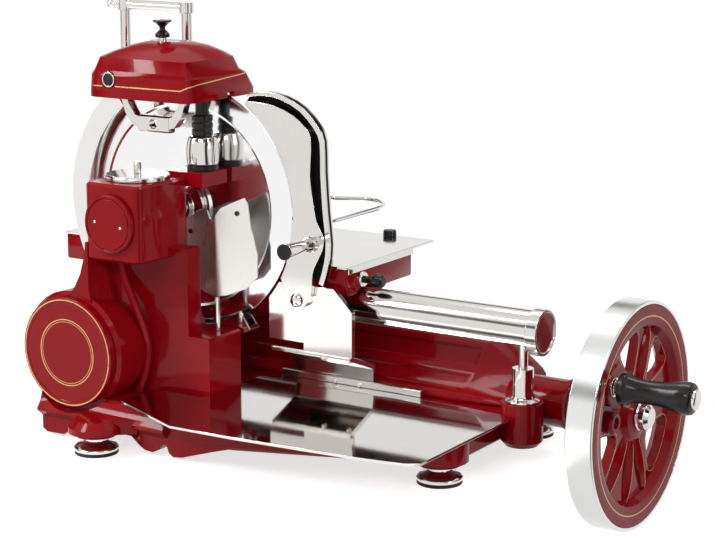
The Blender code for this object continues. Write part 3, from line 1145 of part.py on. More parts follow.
def make_sharpener():
    """Sharpener over the blade: its pedestal and yoke, the cover, and the plunger that brings two stones to the
    edge. The lid on the column's head belongs with them."""
    bright = chrome()
    turned("column_lid", [
        (0, COLUMN_TOP_Z + GAP), (LID_RADIUS, COLUMN_TOP_Z + GAP),
        (LID_RADIUS, LID_TOP_Z - LID_THICKNESS / 3),
        (LID_RADIUS * 0.96, LID_TOP_Z), (0, LID_TOP_Z),
    ], bright, "Z", (BLADE_X, LID_Y, 0), 26)
    turned("lid_pin", [
        (0, LID_TOP_Z + GAP), (LID_PIN_RADIUS, LID_TOP_Z + GAP),
        (LID_PIN_RADIUS, LID_TOP_Z + LID_PIN_HEIGHT * 0.9),
        (LID_PIN_RADIUS * 0.8, LID_TOP_Z + LID_PIN_HEIGHT), (0, LID_TOP_Z + LID_PIN_HEIGHT),
    ], bright, "Z", (BLADE_X, LID_Y, 0), 12)
    low = SHELF_TOP_Z + GAP
    turned("pedestal_band", [
        (0, low), (PEDESTAL_RADIUS * 0.97, low), (PEDESTAL_RADIUS * 0.97, low + PEDESTAL_BAND),
        (0, low + PEDESTAL_BAND),
    ], black_phenolic(), "Z", (PEDESTAL_X, PEDESTAL_Y, 0), 22)
    low += PEDESTAL_BAND + GAP
    bell_shares = [(0.90, 0.0), (0.97, 0.05), (1.0, 0.25), (1.0, 0.55), (0.95, 0.80), (0.84, 0.96),
                   (0.72, 1.0)]
    bell = [(0, low)] + [(PEDESTAL_RADIUS * r, low + PEDESTAL_HEIGHT * h) for r, h in bell_shares]
    bell += [(0, low + PEDESTAL_HEIGHT)]
    turned("sharpener_pedestal", bell, bright, "Z", (PEDESTAL_X, PEDESTAL_Y, 0), 20)
    low += PEDESTAL_HEIGHT + GAP
    neck = [(0, low)]
    pitch = PEDESTAL_NECK_HEIGHT / PEDESTAL_RIBS
    for k in range(PEDESTAL_RIBS):
        for r, h in ((0.92, 0.0), (1.0, 0.2), (1.0, 0.8), (0.92, 0.96)):
            neck.append((PEDESTAL_NECK_RADIUS * r, low + (k + h) * pitch))
    top = COVER_POCKET_TOP_Z - GAP
    neck += [(PEDESTAL_ARM_RADIUS, low + PEDESTAL_NECK_HEIGHT), (PEDESTAL_ARM_RADIUS, top), (0, top)]
    turned("pedestal_neck", neck, black_phenolic(), "Z", (PEDESTAL_X, PEDESTAL_Y, 0), 12)
    make_yoke()
    make_sharpener_cover()
    make_plunger()


def cover_section(height, inset_x, inset_front, inset_back):
    outline = rounded_outline(rectangle(
        COVER_LEFT_X + inset_x, COVER_FRONT_Y + inset_front, COVER_RIGHT_X - inset_x,
        COVER_BACK_Y - inset_back),
        COVER_CORNER, 2)
    return [(x, y, height) for x, y in outline]


def make_yoke():
    """Forked yoke that hangs from the cover in front of the blade."""
    bright = chrome()
    yoke = box("sharpener_yoke", (YOKE_LEFT_X, YOKE_NEAR_Y, YOKE_BOTTOM_Z),
               (YOKE_RIGHT_X, YOKE_FAR_Y, YOKE_TOP_Z), bright)
    round_edges(yoke, YOKE_ARM / 4, 1)
    top = COVER_POCKET_TOP_Z - GAP
    rise = top - YOKE_BOTTOM_Z
    thick = YOKE_ARM / YOKE_REACH
    arm_shares = [
        (-0.35, 0.05), (0.25, 0.10), (0.70, 0.30), (0.95, 0.55), (1.0, 0.70), (1.0, 1.0), (1.0 - thick, 1.0),
        (1.0 - thick, 0.70), (0.50, 0.48), (0.10, 0.28), (-0.35, 0.24),
    ]
    for name, edge, side in (("left", YOKE_LEFT_X, -1), ("right", YOKE_RIGHT_X, 1)):
        outline = [(edge + side * YOKE_REACH * u, YOKE_BOTTOM_Z + rise * v) for u, v in arm_shares]
        join(yoke, prism("yoke_arm_" + name, outline, YOKE_NEAR_Y + GAP, YOKE_FAR_Y - GAP, bright, "XZ"))
    middle = (YOKE_LEFT_X + YOKE_RIGHT_X) / 2
    height = (YOKE_BOTTOM_Z + YOKE_TOP_Z) / 2
    cut(yoke, turned("yoke_bore", [
        (0, YOKE_NEAR_Y - OVERRUN), (YOKE_BORE_RADIUS, YOKE_NEAR_Y - OVERRUN),
        (YOKE_BORE_RADIUS, YOKE_FAR_Y + OVERRUN),
        (0, YOKE_FAR_Y + OVERRUN),
    ], bright, "Y", (middle, 0, height), 16))


def make_sharpener_cover():
    """Hollow cover, open below, with a deeper well over the stones."""
    red = red_enamel()
    width = COVER_RIGHT_X - COVER_LEFT_X
    depth = COVER_BACK_Y - COVER_FRONT_Y
    cover = loft("sharpener_cover", [
        cover_section(COVER_BOTTOM_Z + COVER_RISE * height, width * side, depth * front, depth * back)
        for height, side, front, back in COVER_SHARES], red)
    wall = COVER_WALL
    cut(cover, box("cover_pocket", (COVER_LEFT_X + wall, COVER_FRONT_Y + wall, COVER_BOTTOM_Z - OVERRUN),
                   (COVER_RIGHT_X - wall, COVER_POCKET_FAR_Y, COVER_POCKET_TOP_Z), red))
    cut(cover, box("cover_well", (COVER_WELL_LEFT_X, COVER_FRONT_Y + 4 * wall, COVER_POCKET_TOP_Z - OVERRUN),
                   (COVER_WELL_RIGHT_X, COVER_WELL_FAR_Y, COVER_WELL_TOP_Z), red))
    for name, x in (("left", COVER_LEFT_X), ("right", COVER_RIGHT_X)):
        cut(cover, box("blade_slot_" + name, (x - 2 * wall, COVER_SLOT_NEAR_Y, COVER_BOTTOM_Z - OVERRUN),
                       (x + 2 * wall, COVER_SLOT_FAR_Y, COVER_SLOT_TOP_Z), red))
    hole = PLUNGER_STEM_RADIUS + RUNNING_GAP
    cut(cover, turned("plunger_hole", [
        (0, COVER_WELL_TOP_Z - OVERRUN), (hole, COVER_WELL_TOP_Z - OVERRUN), (hole, COVER_TOP + OVERRUN),
        (0, COVER_TOP + OVERRUN),
    ], red, "Z", (PLUNGER_X, PLUNGER_Y, 0), 16))
    bolt_x = COVER_LEFT_X + width * 0.22
    bolt_z = COVER_BOTTOM_Z + COVER_SKIRT * 0.6
    radius = COVER_SKIRT * 0.2
    seat = COVER_FRONT_Y + wall / 2
    cut(cover, turned("bolt_recess", [
        (0, COVER_FRONT_Y - OVERRUN), (radius * 1.4, COVER_FRONT_Y - OVERRUN), (radius * 1.4, seat),
        (0, seat),
    ], red, "Y", (bolt_x, 0, bolt_z), 20))
    turned("sharpener_bolt", [
        (0, seat - GAP), (radius, seat - GAP), (radius, COVER_FRONT_Y - GAP),
        (radius * 0.8, COVER_FRONT_Y - 2 * GAP),
        (0, COVER_FRONT_Y - 2 * GAP),
    ], black_phenolic(), "Y", (bolt_x, 0, bolt_z), 16)


def make_plunger():
    """Knob on a stem through the cover, and the carrier with its two stones over the blade's edge."""
    pivot = axis_empty("plunger_axis", (PLUNGER_X, PLUNGER_Y, COVER_TOP))
    knob_base = COVER_TOP + PLUNGER_TRAVEL + GAP
    knob_shares = [
        (0.74, 0.0), (0.78, 0.16), (0.48, 0.34), (0.30, 0.42), (0.30, 0.58), (0.72, 0.82), (1.0, 0.88),
        (0.96, 0.97),
    ]
    knob = [(0, knob_base)]
    knob += [(KNOB_RADIUS * r, knob_base + KNOB_HEIGHT * h) for r, h in knob_shares]
    knob += [(0, knob_base + KNOB_HEIGHT)]
    turned("plunger_knob", knob, black_phenolic(), "Z", (PLUNGER_X, PLUNGER_Y, 0), 14, pivot)
    bar_top = COVER_WELL_TOP_Z - RUNNING_GAP
    bar_low = bar_top - STONE_BAR
    stem = turned("plunger_stem", [
        (0, bar_top - STONE_BAR / 2), (PLUNGER_STEM_RADIUS, bar_top - STONE_BAR / 2),
        (PLUNGER_STEM_RADIUS, knob_base - GAP),
        (0, knob_base - GAP),
    ], chrome(), "Z", (PLUNGER_X, PLUNGER_Y, 0), 16, pivot)
    front = BLADE_BACK_Y - BLADE_BEVEL_THICKNESS - STONE_BLADE_GAP - STONE_THICKNESS
    rear = BLADE_BACK_Y + STONE_BLADE_GAP
    bar = box("stone_bar",
              (PLUNGER_X - PLUNGER_STEM_RADIUS * 1.2, PLUNGER_Y - PLUNGER_STEM_RADIUS * 1.2, bar_low),
              (PLUNGER_X + PLUNGER_STEM_RADIUS * 1.2, rear + STONE_THICKNESS, bar_top), chrome())
    join(stem, bar)
    centre = bar_low - GAP - STONE_RADIUS
    for name, y in (("stone_front", front), ("stone_rear", rear)):
        turned(name, [
            (0, y), (STONE_RADIUS, y), (STONE_RADIUS, y + STONE_THICKNESS), (0, y + STONE_THICKNESS),
        ], grey_stone(), "Y", (PLUNGER_X, 0, centre), 18, pivot)


def make_gauge():
    """Thickness gauge: a back plate flush with the blade, its raised rim, the polished front plate, and the
    bracket and foot that carry them."""
    pivot = axis_empty("gauge_axis", (BLADE_X + BLADE_RADIUS, BLADE_BACK_Y, BLADE_Z))
    steel = polished_steel()
    back_front = BLADE_BACK_Y - GAUGE_BACK_THICKNESS
    near = BLADE_RADIUS + GAUGE_INNER_GAP
    edge = arc((BLADE_X, BLADE_Z), near, GAUGE_LOW_TURN, GAUGE_TOP_TURN, 20)
    rim_line = smooth_path(blade_polar(GAUGE_RIM_SHARES), 2)
    back = prism("gauge_rim", edge + rim_line, back_front, BLADE_BACK_Y, steel, "XZ")
    inset = GAUGE_RIM_WIDTH
    inner_line = smooth_path(blade_polar(GAUGE_RIM_SHARES, inset), 2)
    rim = prism("gauge_raised_rim", list(reversed(inner_line)) + rim_line, GAUGE_FRONT_Y,
                back_front + OVERRUN / 2, steel, "XZ")
    join(back, rim)
    back.parent = pivot
    back.location = -Vector(pivot.location)
    front_arc = arc((BLADE_X, BLADE_Z), BLADE_RADIUS + GAUGE_FRONT_INNER_GAP, FRONT_LOW_TURN,
                    GAUGE_TOP_TURN * 0.98, 20)
    front_line = smooth_path(blade_polar(GAUGE_FRONT_SHARES), 2)
    plate = prism("gauge_plate", front_arc + front_line, GAUGE_FRONT_Y - OVERRUN / 2, back_front - GAP,
                  steel, "XZ")
    plate.parent = pivot
    plate.location = -Vector(pivot.location)
    make_bracket(pivot, back_front)
    lever = turned("gauge_lever", [
        (0, GAUGE_FRONT_Y - OVERRUN / 2 - GAP), (LEVER_RADIUS * 0.75, GAUGE_FRONT_Y - OVERRUN / 2 - GAP),
        (LEVER_RADIUS, GAUGE_FRONT_Y - LEVER_RADIUS * 0.6),
        (LEVER_RADIUS * 0.8, GAUGE_FRONT_Y - LEVER_RADIUS * 1.4),
        (LEVER_RADIUS * 0.72, GAUGE_FRONT_Y - LEVER_RADIUS * 2), (LEVER_RADIUS, GAUGE_FRONT_Y - LEVER_LENGTH),
        (0, GAUGE_FRONT_Y - LEVER_LENGTH),
    ], chrome(), "Y", (LEVER_X, 0, LEVER_Z), 16)
    lever.parent = pivot
    lever.location = Vector((LEVER_X, 0, LEVER_Z)) - Vector(pivot.location)
    end = GAUGE_FRONT_Y - LEVER_LENGTH - GAP
    turned("gauge_lever_end", [
        (0, end), (LEVER_RADIUS, end), (LEVER_RADIUS, end - LEVER_END_LENGTH), (0, end - LEVER_END_LENGTH),
    ], black_phenolic(), "Y", (LEVER_X, 0, LEVER_Z), 16, pivot)
    seat = GAUGE_FRONT_Y - OVERRUN / 2 - GAP
    turned("gauge_bolt", [
        (0, seat), (GAUGE_BOLT_RADIUS, seat), (GAUGE_BOLT_RADIUS * 0.92, seat - GAUGE_BOLT_HEIGHT * 0.5),
        (GAUGE_BOLT_RADIUS * 0.55, seat - GAUGE_BOLT_HEIGHT * 0.92), (0, seat - GAUGE_BOLT_HEIGHT),
    ], chrome(), "Y", (GAUGE_BOLT_X, 0, GAUGE_BOLT_Z), 20, pivot)


def make_bracket(pivot, back_front):
    """Lower bracket behind the gauge's lower end, and the foot plate with its sloping ledge."""
    steel = polished_steel()
    clear = BLADE_RADIUS + BRACKET_BLADE_GAP
    low_turn = -math.acos((BRACKET_LEFT_X - BLADE_X) / clear)
    shelf_z = blade_polar([(GAUGE_RIM_SHARES[-1][0], 1.0)])[0][1] - GAUGE_RIM_WIDTH
    top_z = min(BRACKET_TOP_Z, shelf_z)
    high_turn = math.asin((top_z - BLADE_Z) / clear)
    outline = arc((BLADE_X, BLADE_Z), clear, low_turn, high_turn, 6)
    outline += [
        (BRACKET_RIGHT_X - BRACKET_CHAMFER, top_z), (BRACKET_RIGHT_X, top_z - BRACKET_CHAMFER),
        (BRACKET_RIGHT_X, BRACKET_BOTTOM_Z), (BRACKET_STEP_X, BRACKET_BOTTOM_Z),
        (BRACKET_STEP_X, BRACKET_BOTTOM_Z + BRACKET_STEP), (BRACKET_LEFT_X, BRACKET_BOTTOM_Z + BRACKET_STEP),
    ]
    bracket = prism("gauge_bracket", outline, back_front, back_front + BRACKET_THICKNESS, steel, "XZ")
    bracket.parent = pivot
    bracket.location = -Vector(pivot.location)
    thick = GAUGE_FOOT_THICKNESS
    foot_low = RAIL_TOP_Z + GAP
    foot_top = foot_low + GAUGE_FOOT_HEIGHT
    ledge = BRACKET_BOTTOM_Z - GAP
    section = [
        (back_front, ledge), (back_front, ledge - thick), (GAUGE_FOOT_Y - thick / 2, foot_top - thick),
        (GAUGE_FOOT_Y, foot_low),
        (GAUGE_FOOT_Y + thick, foot_low), (GAUGE_FOOT_Y + thick, foot_top),
        (back_front + BRACKET_THICKNESS, ledge),
    ]
    foot = prism("gauge_foot", section, GAUGE_FOOT_LEFT_X, GAUGE_FOOT_RIGHT_X, steel, "YZ")
    foot.parent = pivot
    foot.location = -Vector(pivot.location)


def make_carriage():
    """Carriage body with its bearing on the tube, the rear legs with their rollers, and the feed knob."""
    pivot = axis_empty("carriage_axis", (CARRIAGE_RIGHT_X, TUBE_Y, TUBE_Z))
    red = red_enamel()
    body = box("carriage_body", (CARRIAGE_LEFT_X, CARRIAGE_NEAR_Y, CARRIAGE_BOTTOM_Z),
               (CARRIAGE_RIGHT_X, CARRIAGE_FAR_Y, CARRIAGE_TOP_Z), red, pivot)
    round_edges(body, CARRIAGE_ROUND)
    channel = CARRIAGE_CHANNEL_RADIUS
    cut(body, turned("carriage_channel", [
        (0, CARRIAGE_LEFT_X - OVERRUN), (channel, CARRIAGE_LEFT_X - OVERRUN),
        (channel, CARRIAGE_RIGHT_X + OVERRUN),
        (0, CARRIAGE_RIGHT_X + OVERRUN),
    ], red, "X", (0, TUBE_Y, TUBE_Z), 32))
    bearing_left = BEARING_RIGHT_X - BEARING_LENGTH
    wall = BEARING_RADIUS
    clear = TUBE_RADIUS + RUNNING_GAP
    block_top = CARRIAGE_TOP_Z - 4 * CARRIAGE_ROUND
    lip = BEARING_LIP_ANGLE
    outline = [(TUBE_Y + wall, block_top), (TUBE_Y - wall, block_top)]
    outline += arc((TUBE_Y, TUBE_Z), wall, math.pi, math.pi + lip, 5)
    outline += arc((TUBE_Y, TUBE_Z), clear, math.pi + lip, -lip, 24)
    outline += arc((TUBE_Y, TUBE_Z), wall, -lip, 0, 5)
    join(body, prism("carriage_bearing", outline, bearing_left, BEARING_RIGHT_X, red, "YZ"))
    leg_y = TRACK_Y + ROLLER_WIDTH / 2 + GAP
    for k in range(2):
        x = ROLLER_LEFT_X + k * ROLLER_SPACING
        join(body, box("roller_leg_%d" % k, (x - LEG_WIDTH / 2, leg_y, ROLLER_Z - LEG_THICKNESS),
                       (x + LEG_WIDTH / 2, leg_y + LEG_THICKNESS, CARRIAGE_BOTTOM_Z + 2 * CARRIAGE_ROUND),
                       red))
        pin_near = TRACK_Y - ROLLER_WIDTH / 2
        join(body, turned("roller_pin_%d" % k, [
            (0, pin_near), (ROLLER_PIN_RADIUS, pin_near), (ROLLER_PIN_RADIUS, leg_y + LEG_THICKNESS / 2),
            (0, leg_y + LEG_THICKNESS / 2),
        ], red, "Y", (x, 0, ROLLER_Z), 16))
        axle = axis_empty("roller_%d_axis" % k, (x, TRACK_Y, ROLLER_Z))
        hole = ROLLER_PIN_RADIUS + RUNNING_GAP
        turned("roller_left" if k == 0 else "roller_right", [
            (hole, -ROLLER_WIDTH / 2), (ROLLER_RADIUS, -ROLLER_WIDTH / 2), (ROLLER_RADIUS, ROLLER_WIDTH / 2),
            (hole, ROLLER_WIDTH / 2),
        ], polished_steel(), "Y", axle.location, 16, axle)
    face = CARRIAGE_RIGHT_X + GAP
    turned("feed_collar", [
        (0, face), (FEED_COLLAR_RADIUS, face), (FEED_COLLAR_RADIUS, face + FEED_COLLAR_LENGTH * 0.7),
        (FEED_COLLAR_RADIUS * 0.85, face + FEED_COLLAR_LENGTH), (0, face + FEED_COLLAR_LENGTH),
    ], chrome(), "X", (0, FEED_KNOB_Y, FEED_KNOB_Z), 14, pivot)
    knob_axis = axis_empty("feed_knob_axis", (face + FEED_COLLAR_LENGTH + GAP, FEED_KNOB_Y, FEED_KNOB_Z))
    knob_shares = [(0.50, 0.0), (0.42, 0.30), (0.55, 0.42), (0.95, 0.52), (1.0, 0.70), (0.92, 0.90),
                   (0.60, 1.0)]
    knob = [(0, 0)] + [(FEED_KNOB_RADIUS * r, FEED_KNOB_LENGTH * h) for r,
                       h in knob_shares] + [(0, FEED_KNOB_LENGTH)]
    turned("feed_knob", knob, black_phenolic(), "X", knob_axis.location, 14, knob_axis)


def make_table():
    """Feed table with its turned-down lip, the press posts with their crossbar, and the press."""
    pivot = axis_empty("table_axis", (TABLE_RIGHT_X, TABLE_NEAR_Y, TABLE_TOP_Z))
    steel = polished_steel()
    bright = chrome()
    outline = rounded_outline(rectangle(TABLE_LEFT_X, TABLE_NEAR_Y, TABLE_RIGHT_X, TABLE_FAR_Y),
                              TABLE_CORNER, 3)
    table = prism("feed_table", outline, TABLE_BOTTOM_Z, TABLE_TOP_Z, steel)
    lip = box("table_lip", (CARRIAGE_RIGHT_X + GAP, TABLE_NEAR_Y + TABLE_CORNER, TABLE_TOP_Z - TABLE_LIP),
              (CARRIAGE_RIGHT_X + GAP + TABLE_LIP_THICKNESS, CARRIAGE_FAR_Y, TABLE_TOP_Z - GAP), steel)
    join(table, lip)
    table.parent = pivot
    table.location = -Vector(pivot.location)
    boss_low = PRESS_POST_TOP_Z - CROSSBAR_BOSS_HEIGHT
    for name, x in (("press_post_left", PRESS_POST_LEFT_X), ("press_post_right", PRESS_POST_RIGHT_X)):
        turned(name, [
            (0, TABLE_TOP_Z + GAP), (PRESS_POST_RADIUS, TABLE_TOP_Z + GAP),
            (PRESS_POST_RADIUS, boss_low - GAP),
            (0, boss_low - GAP),
        ], bright, "Z", (x, PRESS_POST_Y, 0), 16, pivot)
    crossbar = turned("press_crossbar", [
        (0, PRESS_POST_LEFT_X), (CROSSBAR_RADIUS, PRESS_POST_LEFT_X), (CROSSBAR_RADIUS, PRESS_POST_RIGHT_X),
        (0, PRESS_POST_RIGHT_X),
    ], bright, "X", (0, PRESS_POST_Y, CROSSBAR_Z), 16)
    for name, x in (("left", PRESS_POST_LEFT_X), ("right", PRESS_POST_RIGHT_X)):
        join(crossbar, turned("crossbar_boss_" + name, [
            (0, boss_low), (CROSSBAR_BOSS_RADIUS, boss_low), (CROSSBAR_BOSS_RADIUS, PRESS_POST_TOP_Z),
            (0, PRESS_POST_TOP_Z),
        ], bright, "Z", (x, PRESS_POST_Y, 0), 18))
    crossbar.parent = pivot
    crossbar.location = Vector((0, PRESS_POST_Y, CROSSBAR_Z)) - Vector(pivot.location)
    ball_x = PRESS_POST_LEFT_X - CROSSBAR_BOSS_RADIUS - GAP
    ball = LEVER_BALL_RADIUS
    turned("press_lever", [
        (0, ball_x), (ball * 0.6, ball_x), (ball * 0.55, ball_x - LEVER_REACH / 3),
        (ball * 0.9, ball_x - LEVER_REACH * 0.6),
        (ball, ball_x - LEVER_REACH), (ball * 0.7, ball_x - LEVER_REACH - ball * 0.7),
        (0, ball_x - LEVER_REACH - ball),
    ], bright, "X", (0, PRESS_POST_Y, CROSSBAR_Z), 16, pivot)
    turned("table_stud", [
        (0, TABLE_TOP_Z + GAP), (TABLE_STUD_RADIUS, TABLE_TOP_Z + GAP),
        (TABLE_STUD_RADIUS, TABLE_TOP_Z + TABLE_STUD_HEIGHT * 0.8),
        (TABLE_STUD_RADIUS * 0.8, TABLE_TOP_Z + TABLE_STUD_HEIGHT), (0, TABLE_TOP_Z + TABLE_STUD_HEIGHT),
    ], black_phenolic(), "Z", (TABLE_STUD_X, TABLE_STUD_Y, 0), 16, pivot)
    make_press()


def make_press():
    """Press that slides on the posts: a guide block, a spiked plate and a wire loop to lift it by."""
    pivot = axis_empty("press_axis", (PRESS_POST_RIGHT_X, PRESS_POST_Y, PRESS_PLATE_Z))
    steel = polished_steel()
    wall = CROSSBAR_BOSS_RADIUS + PRESS_POST_RADIUS
    block = box("press_block",
                (PRESS_POST_LEFT_X - wall, PRESS_POST_Y - PRESS_BLOCK_DEPTH / 2, PRESS_BLOCK_Z),
                (PRESS_PLATE_LEFT_X + wall, PRESS_POST_Y + PRESS_BLOCK_DEPTH / 2,
                 PRESS_BLOCK_Z + PRESS_BLOCK_HEIGHT), steel, pivot)
    plate = prism("press_plate", rounded_outline(rectangle(
        PRESS_PLATE_LEFT_X, PRESS_PLATE_NEAR_Y, PRESS_PLATE_RIGHT_X, PRESS_PLATE_FAR_Y), TABLE_CORNER * 2, 3),
        PRESS_PLATE_Z, PRESS_PLATE_Z + PRESS_PLATE_THICKNESS, steel)
    join(block, plate)
    span_x = PRESS_PLATE_RIGHT_X - PRESS_PLATE_LEFT_X
    span_y = PRESS_PLATE_FAR_Y - PRESS_PLATE_NEAR_Y
    for i in range(SPIKE_COLUMNS):
        for j in range(SPIKE_ROWS):
            x = PRESS_PLATE_RIGHT_X - span_x * (0.12 + 0.72 * i / (SPIKE_COLUMNS - 1))
            y = PRESS_PLATE_NEAR_Y + span_y * (0.15 + 0.70 * j / (SPIKE_ROWS - 1))
            join(block, turned("press_spike_%d_%d" % (i, j), [
                (0, PRESS_PLATE_Z - SPIKE_LENGTH), (SPIKE_RADIUS, PRESS_PLATE_Z + GAP),
                (0, PRESS_PLATE_Z + 2 * GAP),
            ], steel, "Z", (x, y, 0), 6))
    hole = PRESS_POST_RADIUS + RUNNING_GAP
    low = PRESS_BLOCK_Z - OVERRUN
    high = PRESS_BLOCK_Z + PRESS_BLOCK_HEIGHT + OVERRUN
    for name, x in (("left", PRESS_POST_LEFT_X), ("right", PRESS_POST_RIGHT_X)):
        cut(block, turned("press_bore_" + name, [(0, low), (hole, low), (hole, high), (0, high)], steel, "Z",
                          (x, PRESS_POST_Y, 0), 16))
    near = LOOP_NEAR_Y
    far = LOOP_FAR_Y
    right = LOOP_RIGHT_X
    start = PRESS_PLATE_RIGHT_X + GAP
    corner = LOOP_NEAR_CORNER
    wide = LOOP_FAR_CORNER
    inner_near = PRESS_PLATE_NEAR_Y + TABLE_CORNER * 3
    inner_far = PRESS_PLATE_FAR_Y - TABLE_CORNER * 3
    route = [(start, inner_near), (start + corner, inner_near)]
    route += [(start + 2.2 * corner, near), (right - 2 * corner, near)]
    route += arc((right - corner, near + corner), corner, -math.pi / 2, 0, 4)
    route += arc((right - wide, far - wide), wide, 0, math.pi / 2, 8)
    route += [(start + corner, inner_far), (start, inner_far)]
    level = PRESS_PLATE_Z + PRESS_PLATE_THICKNESS / 2
    loop = swept("press_loop", [(x, y, level) for x, y in route], LOOP_WIRE_RADIUS, chrome(), 6)
    loop.parent = pivot
    loop.location = -Vector(pivot.location)


def main():
    clear_scene()
    make_feet()
    _, bore = make_base()
    make_drive_cover(bore)
    make_column()
    make_blade()
    make_guard_ring()
    make_deflector()
    make_tube()
    make_tray()
    make_flywheel()
    make_sharpener()
    make_gauge()
    make_carriage()
    make_table()


main()
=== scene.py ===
"""Hand crank meat slicer: the dressed model, its studio and its camera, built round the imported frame."""

import json
import math

import bmesh
import bpy
from mathutils import Matrix, Vector
from mathutils.bvhtree import BVHTree

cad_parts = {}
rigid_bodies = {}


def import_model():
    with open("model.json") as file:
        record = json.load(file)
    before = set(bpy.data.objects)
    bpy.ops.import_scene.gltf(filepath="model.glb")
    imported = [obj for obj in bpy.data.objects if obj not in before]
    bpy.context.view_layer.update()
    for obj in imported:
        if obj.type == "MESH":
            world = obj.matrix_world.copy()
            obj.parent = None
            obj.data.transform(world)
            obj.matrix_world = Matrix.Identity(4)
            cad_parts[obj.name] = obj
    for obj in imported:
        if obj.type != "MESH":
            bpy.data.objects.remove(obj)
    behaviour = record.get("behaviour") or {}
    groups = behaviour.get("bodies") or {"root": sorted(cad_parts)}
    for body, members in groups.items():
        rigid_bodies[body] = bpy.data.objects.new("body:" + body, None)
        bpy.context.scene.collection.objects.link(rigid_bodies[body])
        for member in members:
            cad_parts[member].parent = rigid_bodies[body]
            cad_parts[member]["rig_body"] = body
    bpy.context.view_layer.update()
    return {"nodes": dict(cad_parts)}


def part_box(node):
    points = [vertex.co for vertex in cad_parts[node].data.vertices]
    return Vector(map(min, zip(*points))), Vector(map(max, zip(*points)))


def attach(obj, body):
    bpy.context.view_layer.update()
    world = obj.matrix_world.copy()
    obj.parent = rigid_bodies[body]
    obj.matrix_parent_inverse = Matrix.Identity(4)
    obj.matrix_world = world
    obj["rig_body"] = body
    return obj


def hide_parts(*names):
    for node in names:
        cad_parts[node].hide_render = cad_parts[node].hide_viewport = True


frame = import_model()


# Camera.
# It stands in front of the machine, to the right of it and a little above, as the photographer did,
# with a long lens, so that upright edges stay almost upright.
camera_place = Vector((1.2697, -1.9207, 0.6991))
camera_tilt = math.radians(77.98)
camera_turn = math.radians(32.41)
camera_lens = 101.66

camera_data = bpy.data.cameras.new("camera")
camera_data.lens = camera_lens
camera_data.sensor_width = 36
camera = bpy.data.objects.new("camera", camera_data)
camera.location = camera_place
camera.rotation_euler = (camera_tilt, 0, camera_turn)
bpy.context.scene.collection.objects.link(camera)
bpy.context.scene.camera = camera


# Counter, studio and lamps.
# A white counter top carries the four feet and ends before the flywheel, which hangs past its edge. The
# camera sees plain white behind it, and bright metal mirrors a white cove with a dark band and two screens.
counter_left = -1.3
counter_right = 0.313
counter_near = -0.72
counter_far = 1.3
counter_thickness = 0.004
counter_round = 0.001
counter_white = (0.62, 0.62, 0.62)
counter_glow = 0.72
edge_fade_from = 0.20
edge_fade_to = 0.30
edge_fade_glow = 0.28
studio_for_light = 0.42
studio_for_eye = 1.0
plain_white = (1, 1, 1, 1)
lamp_aim = Vector((0, 0, 0.2))
sharp_angle = math.radians(30)


def fed(tree, made, inputs):
    """Sets or links the given inputs of a shader node."""
    for key, value in inputs.items():
        if isinstance(value, bpy.types.NodeSocket):
            tree.links.new(value, made.inputs[key])
        else:
            made.inputs[key].default_value = value
    return made


def node(tree, kind, inputs=(), **settings):
    made = tree.nodes.new("ShaderNode" + kind)
    for key, value in settings.items():
        setattr(made, key, value)
    return fed(tree, made, dict(inputs))


def object_place(tree):
    return node(tree, "TexCoord").outputs["Object"]


def noise(tree, place, scale, detail, roughness=0.5):
    return node(tree, "TexNoise", {
        "Vector": place, "Scale": scale, "Detail": detail, "Roughness": roughness}).outputs[0]


def ranged(tree, value, low, high, at_low=0.0, at_high=1.0):
    """Turns a value between low and high into one between at_low and at_high."""
    return node(tree, "MapRange", {
        "Value": value, "From Min": low, "From Max": high, "To Min": at_low, "To Max": at_high}).outputs[0]


def maths(tree, operation, *values, clamp=False):
    return node(tree, "Math", dict(enumerate(values)), operation=operation, use_clamp=clamp).outputs[0]


def scaled(tree, value, factor):
    return node(tree, "VectorMath", {0: value, "Scale": factor}, operation="SCALE").outputs[0]


def blended(tree, share, first, second):
    """The first colour where share is 0, and the second where it is 1."""
    return node(tree, "Mix", {0: share, 6: first, 7: second}, data_type="RGBA").outputs[2]


def camera_ray(tree):
    return node(tree, "LightPath").outputs["Is Camera Ray"]


def seen_by_eye(tree):
    """1 for the camera, for mirror rays and for rays through glass, and 0 for light that warms a surface."""
    rays = node(tree, "LightPath").outputs
    mirrored = maths(tree, "MAXIMUM", rays["Is Camera Ray"], rays["Is Glossy Ray"])
    return maths(tree, "MAXIMUM", mirrored, rays["Is Transmission Ray"])


def object_from(name, edit, look, round_width=0.0, segments=3, smooth=True):
    """A finished object in the shared frame. Its sharp edges are rounded by the given width."""
    mesh = bpy.data.meshes.new(name)
    edit.to_mesh(mesh)
    edit.free()
    for stored in ("custom_normal", "sharp_face", "sharp_edge"):
        if stored in mesh.attributes:
            mesh.attributes.remove(mesh.attributes[stored])
    if smooth:
        mesh.shade_smooth()
    mesh.materials.clear()
    mesh.materials.append(look)
    made = bpy.data.objects.new(name, mesh)
    bpy.context.scene.collection.objects.link(made)
    if round_width:
        bevel = made.modifiers.new("rounded_edges", "BEVEL")
        bevel.width = round_width
        bevel.segments = segments
        bevel.limit_method = "ANGLE"
        bevel.angle_limit = sharp_angle
        bevel.harden_normals = True
    return made


def block(low, high):
    """A block between two corners, as a mesh to shape further."""
    edit = bmesh.new()
    bmesh.ops.create_cube(edit, size=1)
    low, high = Vector(low), Vector(high)
    bmesh.ops.scale(edit, vec=high - low, verts=edit.verts)
    bmesh.ops.translate(edit, vec=(high + low) / 2, verts=edit.verts)
    return edit


